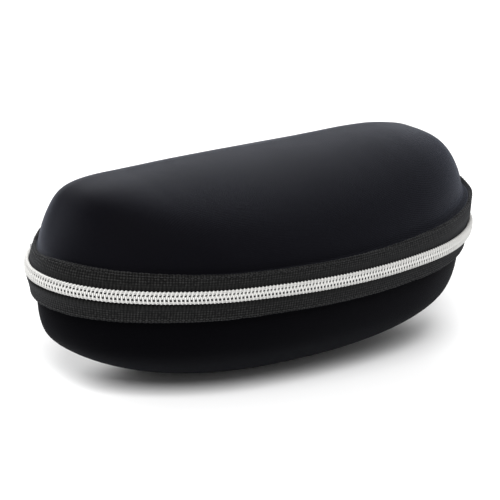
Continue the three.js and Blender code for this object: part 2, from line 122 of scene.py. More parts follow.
def s_of(deg):
    """Arc length at a normal angle in degrees on the right half."""
    th, s = deg * RAD, 0.0
    for lo, hi, R in ARCS:
        s += (min(th, hi) - lo) * R
        if th <= hi:
            break
    return s


_end = Stations(np.array([sum(ARC_LEN)]))
BACK_Y, STRAIGHT = float(_end.y[0]), float(_end.x[0])
HALF_RING = sum(ARC_LEN) + STRAIGHT
END_C = (STRAIGHT, BACK_Y - END_R)
S_TAIL = sum(ARC_LEN) + STRAIGHT - 37.6      # tape tails end at x = 37.6 under the hinge strip


def tape_up(st):
    u = st.x / HALF_LENGTH
    low = 1.7 * smooth(0.25, 0.85, -st.nx) * smooth(-8, 18, st.y) * (1 - smooth(26, 31, st.y))
    return TAPE_UP - 0.42 - 0.15 * smooth(0.0, 0.8, -st.nx) - low + 2.41 * u * u + 1.75 * u


def tape_dn(st):
    u = st.x / HALF_LENGTH
    return TAPE_DN + 0.15 * u * u - 0.90 * u


def smooth(e0, e1, x):
    t = np.clip((x - e0) / (e1 - e0), 0, 1)
    return t * t * (3 - 2 * t)


def end_weight(st):
    """1 on the left end's outer turn and 0 along the front, the back and the right half."""
    return smooth(0.25, 0.85, -st.nx)


def dip(st):
    """How far the sewn-in belt sags at the two ends, in mm, back to nothing before the hinge and the slider."""
    at = [-s_of(88), -s_of(60), -s_of(20), -s_of(0), -s_of(-30), -60, -30, -10, 6, 20, 33, 45, s_of(-46), s_of(-30), s_of(8), s_of(20)]
    mm = [0, -0.45, -0.95, -0.66, -0.25, -0.10, -0.18, -0.40, -0.50, -0.48, -0.38, -0.35, -0.65, -0.75, -0.10, 0]
    return np.interp(st.s, at, mm)


def lean(st, share):
    """How far the upper tape leans in over the lid's shoulder at the ends, in mm."""
    w = 2.1 * end_weight(st) + 0.4 * smooth(0.5, 0.95, st.nx) * (1 - smooth(-22, 12, st.y))
    return w * np.clip(share, 0, 1.1) ** 2.3


def crown(x):
    """The lid's crown is flattest in the middle of its length, in mm against the plain dome."""
    return np.interp(x, [-85, -76, -69, -59, -49, -39, -29, -8, 12, 22, 32, 42, 52, 62, 72, 85],
                     [0.35, 0.50, 0.55, 0.12, -0.42, -0.52, -0.42, -0.35, -0.36, -0.35, -0.15, 0.20, 0.35, 0.10, 0.30, 0.2])


A0, BF0, BB0 = HALF_LENGTH + WALL_IN, POLE_Y - FRONT_Y + WALL_IN, BACK_Y - POLE_Y + WALL_IN


def r_super(n, c, q):
    return (np.abs(c) ** n + np.abs(q) ** n) ** (-1 / n)


def wall(lid, st, t):
    """Outer surface of a shell at fraction t between the tape edge (0) and the pole (1)."""
    S = LID_SHAPE if lid else BOWL_SHAPE
    x, y = st.x + st.nx * WALL_IN, st.y + st.ny * WALL_IN - POLE_Y
    b = np.where(y > 0, BB0, BF0)
    ph = np.arctan2(y / b, x / A0)
    c, q = np.cos(ph), np.sin(ph)
    k = np.hypot(x / A0, y / b) / r_super(PLAN_N, c, q)
    tc = np.clip(t, 0, 1)
    A = (A0 - S["inA"] * tc) * (1 - tc ** S["pA"]) ** (1 / S["qA"])
    ff = (1 - tc ** S["pB"]) ** (1 / S["qB"])
    B = np.where(q > 0, (BB0 - S["inB"] * S["backB"] * tc) * ff, (BF0 - S["inB"] * tc) * ff)
    r = r_super(PLAN_N + (S["n"] - PLAN_N) * tc, c, q) * k ** (1 - tc)
    if not lid:
        r = r * (1 - 0.055 * smooth(0.40, 0.90, tc))      # the bowl turns under slightly sooner than the plain form
    z0, z1 = (TAPE_UP, LID_H) if lid else (TAPE_DN, BOWL_H)
    z = z0 + (z1 - z0) * t
    if lid:
        z = z + crown(A * r * c) * smooth(0.25, 0.95, t)
    return np.stack([A * r * c, B * r * q + POLE_Y, PARTING_Z + (z if lid else -z)], 1)


def t_at(lid, z):
    return (z - (TAPE_UP if lid else TAPE_DN)) / ((LID_H if lid else BOWL_H) - (TAPE_UP if lid else TAPE_DN))


# ------------------------------------------------------------------ mesh building
def make_mesh(name, verts, quads, tris=(), attr=None, mats=(), face_mat=None, smooth_faces=True):
    """verts in mm; quads and tris are index arrays; attr gives the 'fab' coordinates per vertex."""
    verts = np.asarray(verts, float) / 1000
    quads, tris = np.asarray(quads, int).reshape(-1, 4), np.asarray(tris, int).reshape(-1, 3)
    me = bpy.data.meshes.new(name)
    nq, nt = len(quads), len(tris)
    me.vertices.add(len(verts))
    me.vertices.foreach_set("co", verts.astype(np.float32).ravel())
    me.loops.add(nq * 4 + nt * 3)
    me.loops.foreach_set("vertex_index", np.concatenate([quads.ravel(), tris.ravel()]).astype(np.int32))
    me.polygons.add(nq + nt)
    starts = np.concatenate([np.arange(nq) * 4, nq * 4 + np.arange(nt) * 3])
    me.polygons.foreach_set("loop_start", starts.astype(np.int32))
    if face_mat is not None:
        me.polygons.foreach_set("material_index", np.asarray(face_mat, np.int32))
    me.update(calc_edges=True)
    me.validate()
    if attr is not None:
        a = me.attributes.new("fab", "FLOAT_VECTOR", "POINT")
        a.data.foreach_set("vector", np.asarray(attr, np.float32).ravel())
    for m in mats:
        me.materials.append(m)
    if smooth_faces:
        me.shade_smooth()
    ob = bpy.data.objects.new(name, me)
    bpy.context.scene.collection.objects.link(ob)
    return ob


def fix_normals(ob):
    bm = bmesh.new()
    bm.from_mesh(ob.data)
    bmesh.ops.recalc_face_normals(bm, faces=bm.faces)
    bm.to_mesh(ob.data)
    bm.free()
    ob.data.update()
    return ob


def grid(rings, close=True, wrap=False, base=0):
    """Quads between consecutive rings (m, n, 3)."""
    m, n = len(rings), len(rings[0])
    i = np.arange(m if wrap else m - 1)[:, None]
    j = np.arange(n if close else n - 1)[None, :]
    i2, k = (i + 1) % m, (j + 1) % n
    q = np.stack([i * n + j, i * n + k, i2 * n + k, i2 * n + j], -1).reshape(-1, 4)
    return np.concatenate(list(rings)), q + base


def sharpen(ob, deg):
    ob.data.set_sharp_from_angle(angle=deg * RAD)
    return ob


def bevelled(ob, width, segments=3, deg=28):
    """Rounds the sharp edges of a small solid; width in mm."""
    bm = bmesh.new()
    bm.from_mesh(ob.data)
    bmesh.ops.remove_doubles(bm, verts=bm.verts, dist=1e-7)
    bmesh.ops.recalc_face_normals(bm, faces=bm.faces)
    flat = [e for e in bm.edges if len(e.link_faces) == 2 and e.calc_face_angle(0) < 1 * RAD]
    bmesh.ops.dissolve_edges(bm, edges=flat, use_verts=False)
    sharp = [e for e in bm.edges if len(e.link_faces) == 2 and e.calc_face_angle(0) > deg * RAD]
    bmesh.ops.bevel(bm, geom=sharp, offset=width / 1000, segments=segments, profile=0.6, affect="EDGES", clamp_overlap=True)
    bmesh.ops.recalc_face_normals(bm, faces=bm.faces)
    bm.to_mesh(ob.data)
    bm.free()
    ob.data.shade_smooth()
    ob.data.set_sharp_from_angle(angle=50 * RAD)
    ob.data.update()
    return ob


def tube(path, radius, ring=8, closed=False, squash_up=None, up=None):
    """Rings of a round tube along path (m, 3) with radius a number or an array; frames by projecting 'up'."""
    path = np.asarray(path, float)
    m = len(path)
    if closed:
        tan = np.roll(path, -1, 0) - np.roll(path, 1, 0)
    else:
        tan = np.gradient(path, axis=0)
    tan /= np.linalg.norm(tan, axis=1)[:, None]
    ref = np.asarray(up, float) + np.zeros((m, 3))
    b = np.cross(tan, ref)
    b /= np.linalg.norm(b, axis=1)[:, None]
    c = np.cross(b, tan)
    a = np.arange(ring) / ring * 2 * math.pi
    r = (np.asarray(radius, float) + np.zeros(m))[:, None, None]
    k = 1.0 if squash_up is None else squash_up
    return path[:, None, :] + r * (b[:, None, :] * np.cos(a)[None, :, None] + k * c[:, None, :] * np.sin(a)[None, :, None])


def tube_mesh(rings, closed=False, base=0):
    """Vertices and faces of a tube, with end caps when it isn't closed."""
    m, n = rings.shape[:2]
    v, q = grid(rings, close=True, wrap=closed)
    t = []
    if not closed:
        v = np.concatenate([v, rings[0].mean(0)[None], rings[-1].mean(0)[None]])
        j = np.arange(n)
        k = (j + 1) % n
        t = np.concatenate([np.stack([k, j, np.full(n, m * n)], 1), np.stack([(m - 1) * n + j, (m - 1) * n + k, np.full(n, m * n + 1)], 1)])
    return v, q + base, (np.asarray(t, int).reshape(-1, 3) + base)


class Parts:
    """Collects several meshes with their own materials into one object."""

    def __init__(self):
        self.v, self.q, self.t, self.a, self.mq, self.mt, self.n = [], [], [], [], [], [], 0

    def add(self, v, q, t=(), mat=0, attr=None):
        v = np.asarray(v, float)
        q, t = np.asarray(q, int).reshape(-1, 4), np.asarray(t, int).reshape(-1, 3)
        self.v.append(v)
        self.q.append(q + self.n)
        self.t.append(t + self.n)
        self.mq.append(np.full(len(q), mat))
        self.mt.append(np.full(len(t), mat))
        self.a.append(np.zeros((len(v), 3)) if attr is None else np.asarray(attr, float))
        self.n += len(v)

    def make(self, name, mats):
        return make_mesh(name, np.concatenate(self.v), np.concatenate(self.q), np.concatenate(self.t),
                         np.concatenate(self.a), mats, np.concatenate(self.mq + self.mt))


# ------------------------------------------------------------------ materials
def principled(name, color, rough, metallic=0.0, ior=1.45, spec=0.5, sheen=0.0, sheen_rough=0.5, coat=0.0, aniso=0.0, tint=(1, 1, 1)):
    m = bpy.data.materials.new(name)
    m.use_nodes = True
    nt = m.node_tree
    bsdf = nt.nodes["Principled BSDF"]
    bsdf.inputs["Base Color"].default_value = (*color, 1)
    bsdf.inputs["Roughness"].default_value = rough
    bsdf.inputs["Metallic"].default_value = metallic
    bsdf.inputs["IOR"].default_value = ior
    bsdf.inputs["Specular IOR Level"].default_value = spec
    bsdf.inputs["Sheen Weight"].default_value = sheen
    bsdf.inputs["Sheen Roughness"].default_value = sheen_rough
    bsdf.inputs["Sheen Tint"].default_value = (*tint, 1)
    bsdf.inputs["Coat Weight"].default_value = coat
    bsdf.inputs["Anisotropic"].default_value = aniso
    return m, nt, bsdf


class Nodes:
    """Small helper for chains of math nodes."""

    def __init__(self, nt):
        self.nt = nt

    def new(self, kind, **inputs):
        n = self.nt.nodes.new(kind)
        for k, v in inputs.items():
            setattr(n, k, v)
        return n

    def math(self, op, a, b=None, c=None):
        n = self.nt.nodes.new("ShaderNodeMath")
        n.operation = op
        for i, v in enumerate((a, b, c)):
            if v is None:
                continue
            if isinstance(v, (int, float)):
                n.inputs[i].default_value = v
            else:
                self.nt.links.new(v, n.inputs[i])
        return n.outputs[0]

    def noise(self, vec, scale, detail=3.0, rough=0.5, out=0):
        n = self.nt.nodes.new("ShaderNodeTexNoise")
        n.inputs["Scale"].default_value = scale
        n.inputs["Detail"].default_value = detail
        n.inputs["Roughness"].default_value = rough
        self.nt.links.new(vec, n.inputs["Vector"])
        return n.outputs[out]

    def fab(self):
        a = self.nt.nodes.new("ShaderNodeAttribute")
        a.attribute_name = "fab"
        s = self.nt.nodes.new("ShaderNodeSeparateXYZ")
        self.nt.links.new(a.outputs["Vector"], s.inputs[0])
        return a.outputs["Vector"], s.outputs[0], s.outputs[1], s.outputs[2]

    def obj(self):
        return self.nt.nodes.new("ShaderNodeTexCoord").outputs["Object"]

    def mix_color(self, fac, a, b):
        n = self.nt.nodes.new("ShaderNodeMix")
        n.data_type = "RGBA"
        n.clamp_factor = True
        for sock, v in ((n.inputs[0], fac), (n.inputs[6], a), (n.inputs[7], b)):
            if isinstance(v, (int, float)):
                sock.default_value = v
            elif isinstance(v, tuple):
                sock.default_value = (*v, 1)
            else:
                self.nt.links.new(v, sock)
        return n.outputs[2]

    def bump(self, bsdf, height, distance, strength=1.0):
        b = self.nt.nodes.new("ShaderNodeBump")
        b.inputs["Strength"].default_value = strength
        b.inputs["Distance"].default_value = distance
        self.nt.links.new(height, b.inputs["Height"])
        self.nt.links.new(b.outputs[0], bsdf.inputs["Normal"])

    def link(self, a, b):
        self.nt.links.new(a, b)

    def remap(self, v, lo, hi):
        n = self.nt.nodes.new("ShaderNodeMapRange")
        n.inputs["To Min"].default_value = lo
        n.inputs["To Max"].default_value = hi
        self.nt.links.new(v, n.inputs["Value"])
        return n.outputs[0]


def jersey(name, dark, light, rough, wale=0.62, course=0.46, depth=0.00007, **kw):
    """Fine knit: columns of V stitches in the 'fab' coordinates, which are mm on the cloth."""
    m, nt, bsdf = principled(name, dark, rough, **kw)
    N = Nodes(nt)
    vec, u, v, w = N.fab()
    wob = N.math("MULTIPLY", N.math("SUBTRACT", N.noise(vec, 0.35, 2.0), 0.5), 0.5)
    uu = N.math("ADD", N.math("DIVIDE", u, wale), wob)
    f = N.math("SUBTRACT", N.math("FRACT", uu), 0.5)
    a = N.math("ABSOLUTE", f)
    vv = N.math("ADD", N.math("DIVIDE", v, course), N.math("MULTIPLY", a, 1.1))
    legs = N.math("MULTIPLY_ADD", N.math("SINE", N.math("MULTIPLY", vv, 2 * math.pi)), 0.5, 0.5)
    col = N.math("MULTIPLY_ADD", N.math("COSINE", N.math("MULTIPLY", a, 4 * math.pi)), -0.5, 0.5)
    knit = N.math("MULTIPLY", N.math("MULTIPLY_ADD", legs, 0.65, 0.35), N.math("MULTIPLY_ADD", col, 0.8, 0.2))
    fibre = N.noise(vec, 9.0, 4.0, 0.65)
    h = N.math("ADD", N.math("MULTIPLY", knit, 0.7), N.math("MULTIPLY", fibre, 0.5))
    N.bump(bsdf, h, depth, 0.8)
    patch = N.noise(vec, 0.06, 3.0, 0.5)
    tone = N.math("ADD", N.math("MULTIPLY", knit, 0.45), N.math("ADD", N.math("MULTIPLY", fibre, 0.35), N.math("MULTIPLY", patch, 0.3)))
    N.link(N.mix_color(tone, dark, light), bsdf.inputs["Base Color"])
    N.link(N.remap(N.math("ADD", N.math("MULTIPLY", fibre, 0.5), N.math("MULTIPLY", patch, 0.5)), rough - 0.06, rough + 0.06), bsdf.inputs["Roughness"])
    return m


def weave(name, dark, light, rough, depth=0.00005, **kw):
    """Woven tape: rows across the tape near the coil, a bird's-eye ground further out, and a tight selvedge.
    fab is (mm along, mm from the inner edge, share of the width)."""
    m, nt, bsdf = principled(name, dark, rough, **kw)
    N = Nodes(nt)
    vec, u, v, w = N.fab()
    rows = N.math("MULTIPLY_ADD", N.math("COSINE", N.math("MULTIPLY", u, 2 * math.pi / 1.26)), 0.5, 0.5)
    fine = N.math("MULTIPLY_ADD", N.math("COSINE", N.math("MULTIPLY", u, 2 * math.pi / 0.42)), 0.5, 0.5)
    du = N.math("SINE", N.math("MULTIPLY", N.math("ADD", u, N.math("MULTIPLY", v, 1.2)), math.pi / 0.94))
    dv = N.math("SINE", N.math("MULTIPLY", N.math("SUBTRACT", u, N.math("MULTIPLY", v, 1.2)), math.pi / 0.94))
    eye = N.math("POWER", N.math("MULTIPLY_ADD", N.math("MULTIPLY", du, dv), 0.5, 0.5), 2.0)
    slub = N.math("MAXIMUM", N.math("MULTIPLY_ADD", N.noise(vec, 1.15, 2.0, 0.7), 5.0, -1.5), 0.15)
    eye = N.math("MULTIPLY", eye, slub)
    zone = N.math("MINIMUM", N.math("MAXIMUM", N.math("MULTIPLY", N.math("SUBTRACT", w, 0.38), 5.0), 0.0), 1.0)
    selv = N.math("MINIMUM", N.math("MAXIMUM", N.math("MULTIPLY", N.math("SUBTRACT", w, 0.90), 16.0), 0.0), 1.0)
    inner = N.math("MULTIPLY_ADD", fine, 0.2, N.math("MULTIPLY", rows, 0.45))
    pat = N.math("ADD", N.math("MULTIPLY", inner, N.math("SUBTRACT", 1.0, zone)), N.math("MULTIPLY", N.math("MULTIPLY", eye, 1.15), zone))
    pat = N.math("ADD", pat, N.math("MULTIPLY", N.math("MULTIPLY", selv, eye), 0.5))
    fibre = N.noise(vec, 7.0, 4.0, 0.65)
    h = N.math("ADD", N.math("MULTIPLY", pat, 0.75), N.math("MULTIPLY", fibre, 0.35))
    N.bump(bsdf, h, depth, 0.9)
    tone = N.math("ADD", N.math("MULTIPLY", pat, 0.75), N.math("MULTIPLY", fibre, 0.3))
    N.link(N.mix_color(tone, dark, light), bsdf.inputs["Base Color"])
    N.link(N.remap(fibre, rough - 0.07, rough + 0.07), bsdf.inputs["Roughness"])
    return m


def grainy(name, dark, light, rough, scale, depth, object_space=True, **kw):
    """Surface with fine irregular grain, used for foam, pile, thread and plated metal."""
    m, nt, bsdf = principled(name, dark, rough, **kw)
    N = Nodes(nt)
    vec = N.obj() if object_space else N.fab()[0]
    a, b = N.noise(vec, scale, 5.0, 0.6), N.noise(vec, scale * 0.09, 3.0, 0.5)
    mixv = N.math("ADD", N.math("MULTIPLY", a, 0.6), N.math("MULTIPLY", b, 0.4))
    N.bump(bsdf, a, depth, 0.7)
    N.link(N.mix_color(mixv, dark, light), bsdf.inputs["Base Color"])
    N.link(N.remap(mixv, max(0.03, rough - 0.1), min(1, rough + 0.1)), bsdf.inputs["Roughness"])
    return m


def twisted(name, dark, light, rough, depth, lay=0.5, **kw):
    """Twisted thread: strands wound round the thread; fab is (mm along, share round, 0)."""
    m, nt, bsdf = principled(name, dark, rough, **kw)
    N = Nodes(nt)
    vec, u, v, w = N.fab()
    ply = N.math("MULTIPLY_ADD", N.math("SINE", N.math("MULTIPLY", N.math("ADD", N.math("DIVIDE", u, lay), N.math("MULTIPLY", v, 2.0)), 2 * math.pi)), 0.5, 0.5)
    fibre = N.noise(vec, 14.0, 3.0, 0.6)
    h = N.math("ADD", N.math("MULTIPLY", ply, 0.7), N.math("MULTIPLY", fibre, 0.4))
    N.bump(bsdf, h, depth, 0.9)
    N.link(N.mix_color(N.math("ADD", N.math("MULTIPLY", ply, 0.6), N.math("MULTIPLY", fibre, 0.4)), dark, light), bsdf.inputs["Base Color"])
    return m


MAT_COVER = jersey("black_jersey", (0.0007, 0.0006, 0.0010), (0.0026, 0.0024, 0.0036), 0.55, ior=1.07, sheen=0.12, sheen_rough=0.45, tint=(0.74, 0.80, 1.0))
# painted shade: the base's copy of the same jersey has a darker colour and less sheen than the lid's, so the base reads
# darker
MAT_COVER_BASE_SHADED = jersey("black_jersey_base_painted_shade", (0.0006, 0.0006, 0.0008), (0.0020, 0.0019, 0.0025), 0.6, ior=1.04, sheen=0.028, sheen_rough=0.42, tint=(0.80, 0.84, 1.0))
MAT_LINING = grainy("brushed_lining", (0.010, 0.010, 0.012), (0.028, 0.028, 0.032), 0.9, 1600.0, 0.00012, sheen=0.25, sheen_rough=0.5, ior=1.3)
MAT_FOAM = grainy("moulded_foam", (0.012, 0.012, 0.013), (0.024, 0.024, 0.025), 0.85, 900.0, 0.0001, ior=1.35)
MAT_TAPE = weave("zip_tape_weave", (0.0002, 0.0002, 0.0002), (0.0215, 0.0215, 0.0208), 0.62, ior=1.05, sheen=0.075, sheen_rough=0.5, tint=(0.90, 0.92, 1.0))
MAT_BINDING = weave("edge_binding_weave", (0.003, 0.003, 0.0035), (0.016, 0.016, 0.017), 0.7, ior=1.15, sheen=0.2)
MAT_HINGE = jersey("hinge_strip_jersey", (0.0012, 0.0012, 0.0016), (0.0050, 0.0050, 0.0062), 0.6, wale=0.7, course=0.55, ior=1.1, sheen=0.35, sheen_rough=0.45, tint=(0.80, 0.84, 1.0))
MAT_THREAD = twisted("black_thread", (0.0045, 0.0045, 0.005), (0.017, 0.017, 0.018), 0.55, 0.00003, ior=1.35)
MAT_COIL = grainy("silver_coil", (0.48, 0.477, 0.463), (0.66, 0.655, 0.635), 0.36, 2600.0, 0.000006, ior=1.5, spec=0.6, coat=0.15)
MAT_COIL_THREAD = twisted("silver_thread", (0.34, 0.336, 0.325), (0.60, 0.595, 0.58), 0.5, 0.00003, ior=1.45)
MAT_METAL = grainy("nickel_plate", (0.42, 0.42, 0.43), (0.56, 0.56, 0.56), 0.2, 1500.0, 0.000004, metallic=1.0)
MAT_METAL_SATIN = grainy("nickel_satin", (0.40, 0.40, 0.41), (0.52, 0.52, 0.52), 0.36, 4200.0, 0.000012, metallic=1.0)


# ------------------------------------------------------------------ the six shells of the laminate
def shell_levels(lid, st, count, rim):
    """Levels of a shell, from the rim to the pole: fractions t and flares, one array over the stations each."""
    edge = tape_up(st) if lid else tape_dn(st)
    out = []
    if rim:
        heights = [-2.2, -1.85, -1.6, -1.4, -1.2, -1.0, -0.8, -0.6, -0.4, -0.2, 0.0, 0.25, 0.6] if lid else [-2.4, -1.6, -0.9, -0.5, -0.2, 0.0, 0.2, 0.5, 0.9]
    else:
        heights = [-1.0, 0.6] if lid else [-1.2, 0.9]
    zs = [np.full(st.n, RIM_Z)]
    if rim:
        zs.append(np.full(st.n, RIM_Z + 0.12))
    zs += [np.maximum(edge + h, RIM_Z + 0.2 + 0.02 * i) for i, h in enumerate(heights)]
    for z in zs:
        h = z - edge
        if lid:
            f = 1.85 - 1.55 * smooth(-1.55, -0.35, h) - 0.30 * smooth(-0.35, 0.6, h)
            f = np.clip(f, 0, np.maximum(0.0, 4.05 - 1.95 - lean(st, z / edge) - 0.12))
        else:
            f = 1.05 - 0.6 * smooth(-1.6, 0.0, h) - 0.45 * smooth(0.0, 0.9, h)
        out.append((t_at(lid, z), f))
    t1 = t_at(lid, zs[-1])
    for i in range(1, count):
        u = i / count
        wgt = 1 - (1 - u) ** 2
        out.append((t1 + (1 - t1) * wgt, np.zeros(st.n)))
    return out


def shell_surface(lid, st, levels, depth, flared):
    """Rings of the surface at that depth under the outer one, and their cloth coordinates."""
    base = np.stack([wall(lid, st, t) for t, f in levels])
    pole = np.array([0, POLE_Y, PARTING_Z + LID_H + float(crown(0.0)) if lid else PARTING_Z - BOWL_H])
    ext = np.concatenate([base, np.broadcast_to(pole, (1, st.n, 3))])
    dj = np.roll(ext, -1, 1) - np.roll(ext, 1, 1)
    di = np.gradient(ext, axis=0)
    nrm = np.cross(dj, di)
    if not lid:
        nrm = -nrm
    ln = np.linalg.norm(nrm, axis=2)[..., None]
    nrm = (nrm / np.maximum(ln, 1e-9))[:-1]
    flat = np.stack([np.stack([st.nx, st.ny, np.zeros(st.n)], 1)] * len(levels))
    under = np.stack([(t <= 0) for t, f in levels])[..., None]
    nrm = np.where(under, flat, nrm)
    pts = base - nrm * depth
    if flared:
        f = np.stack([f for t, f in levels])[..., None]
        pts = pts + flat * f
    # cloth coordinates: straight grain, unrolled outward from the pole
    seg = np.linalg.norm(np.diff(np.concatenate([base, np.broadcast_to(pole, (1, st.n, 3))]), axis=0), axis=2)
    run = np.cumsum(seg[::-1], axis=0)[::-1]
    d = base[0][:, :2] - np.array([0, POLE_Y])
    d /= np.linalg.norm(d, axis=1)[:, None]
    fab = np.stack([run * d[None, :, 0], run * d[None, :, 1], np.zeros_like(run)], -1)
    if not lid:   # the flat bottom, eased into the wall
        z = pts[..., 2] - depth
        pts[..., 2] = 0.5 * (z + np.sqrt(z * z + 0.5)) + depth - 0.1
        pole_z = 0.5 * (-2 + math.sqrt(4 + 0.5)) + depth - 0.1
    else:
        pole_z = pole[2] - depth
    return pts, fab, np.array([0, POLE_Y, pole_z])


def shell(name, lid, n_stations, count, d0, d1, flare0, flare1, mat, mat_rim=None):
    st = Stations((np.arange(n_stations) / n_stations * 2 - 1) * HALF_RING)
    lv = shell_levels(lid, st, count, True)
    lo = lv if flare1 else [(lv[0][0], lv[0][1])] + lv[len([1 for t, f in lv if np.max(t) <= 0.02]):]
    outer, fa, p0 = shell_surface(lid, st, lv, d0, flare0)
    inner, fb, p1 = shell_surface(lid, st, lo, d1, flare1)
    rings = np.concatenate([outer[::-1], inner])
    fab = np.concatenate([fa[::-1], fb]).reshape(-1, 3)
    v, q = grid(rings)
    m, n = len(rings), st.n
    v = np.concatenate([v, p0[None], p1[None]])
    fab = np.concatenate([fab, [[0, 0, 0], [0, 0, 0]]])
    j = np.arange(n)
    k = (j + 1) % n
    t = np.concatenate([np.stack([k, j, np.full(n, m * n)], 1), np.stack([(m - 1) * n + j, (m - 1) * n + k, np.full(n, m * n + 1)], 1)])
    return fix_normals(make_mesh(name, v, q, t, fab, [mat]))


D1 = COVER_T
D2 = COVER_T + GAP
D3 = D2 + CORE_T
D4 = D3 + GAP
D5 = D4 + LINING_T
N_ST = 420
made = {}


def add(ob, body, slot, *nodes):
    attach(ob, body)
    if nodes:
        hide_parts(*nodes)
    made[ob.name] = ob
    return ob


add(shell("lid_outer_cover", True, N_ST, 64, 0.0, D1, True, True, MAT_COVER), "lid", "cover_fabric", "lid_cover")
# the base cover takes the darker copy of the jersey, painted shade
add(shell("base_outer_cover", False, N_ST, 56, 0.0, D1, True, True, MAT_COVER_BASE_SHADED), "base", "cover_fabric", "base_cover")
add(shell("lid_foam_shell", True, 220, 30, D2, D3, True, False, MAT_FOAM), "lid", "shell_foam", "lid_core")
add(shell("base_foam_shell", False, 220, 30, D2, D3, True, False, MAT_FOAM), "base", "shell_foam", "base_core")
add(shell("lid_brushed_lining", True, 260, 40, D4, D5, False, False, MAT_LINING), "lid", "lining_fabric", "lid_lining")
add(shell("base_brushed_lining", False, 260, 40, D4, D5, False, False, MAT_LINING), "base", "lining_fabric", "base_lining")


# ------------------------------------------------------------------ rim bindings
def binding(name, lid):
    st = Stations((np.arange(420) / 420 * 2 - 1) * HALF_RING)
    g = 1.0 if lid else -1.0
    lv = [(t_at(lid, np.full(st.n, 9.0)), 0)]
    leg, _, _ = shell_surface(lid, st, [(t_at(lid, np.full(st.n, 8.9)), np.zeros(st.n)), (t_at(lid, np.full(st.n, 9.1)), np.zeros(st.n))], 0, False)
    top = 0.5 * (leg[0] + leg[1])
    in_top = np.hypot(top[:, 0] - st.x, top[:, 1] - st.y)      # how far the wall has come in at the leg's top
    o_out = -2.5 if lid else -3.3
    o_in = WALL_IN - D5 - GAP
    pts, fab = [], []
    # section corners: outer top, round the bottom, up the inner leg, and back
    sec = [(o_out, 4.10), (o_out, 3.85), (o_out - 0.12, 3.66), (o_out - 0.35, 3.58), (-4.8, 3.56), (-6.4, 3.56), (-8.2, 3.57),
           (o_in - 0.05, 3.6), (o_in - 0.33, 3.68), (o_in - 0.47, 3.86), (o_in - 0.50, 4.15), ("i", 6.2, 0.50), ("i", 8.2, 0.50), ("i", 8.75, 0.48),
           ("i", 8.95, 0.36), ("i", 9.0, 0.2), ("i", 8.95, 0.05), ("i", 8.2, 0.0), ("i", 6.2, 0.0), (o_in, 4.4), (o_in, 4.1), (-6.4, 4.08), (-4.8, 4.08)]
    d_run = 0.0
    prev = None
    for c in sec:
        if c[0] == "i":
            w2, _, _ = shell_surface(lid, st, [(t_at(lid, np.full(st.n, c[1] - 0.1)), np.zeros(st.n)), (t_at(lid, np.full(st.n, c[1] + 0.1)), np.zeros(st.n))], D5 + GAP + c[2], False)
            p = 0.5 * (w2[0] + w2[1])
        else:
            p = st.at(np.full(st.n, float(c[0])), np.full(st.n, c[1] * g))
        if prev is not None:
            d_run += float(np.mean(np.linalg.norm(p - prev, axis=1)))
        prev = p
        pts.append(p)
        fab.append(np.stack([st.s, np.full(st.n, d_run), np.full(st.n, 0.2)], 1))
    v, q = grid(pts, close=True, wrap=True)
    return fix_normals(make_mesh(name, v, q, (), np.concatenate(fab), [MAT_BINDING]))


add(binding("lid_edge_binding", True), "lid", "binding", "lid_rim_binding")
add(binding("base_edge_binding", False), "base", "binding", "base_rim_binding")


# ------------------------------------------------------------------ zipper tapes
def catmull(pts, n):
    """n points along a Catmull-Rom curve through pts, evenly in length."""
    p = np.asarray(pts, float)
    p = np.concatenate([[2 * p[0] - p[1]], p, [2 * p[-1] - p[-2]]])
    out = []
    for i in range(1, len(p) - 2):
        t = np.linspace(0, 1, 24, endpoint=False)[:, None]
        a, b, c, d = p[i - 1], p[i], p[i + 1], p[i + 2]
        out.append(0.5 * ((2 * b) + (c - a) * t + (2 * a - 5 * b + 4 * c - d) * t ** 2 + (3 * b - a - 3 * c + d) * t ** 3))
    out = np.concatenate(out + [p[-2][None]])
    s = np.concatenate([[0], np.cumsum(np.linalg.norm(np.diff(out, axis=0), axis=1))])
    u = np.linspace(0, s[-1], n)
    return np.stack([np.interp(u, s, out[:, k]) for k in range(out.shape[1])], 1)


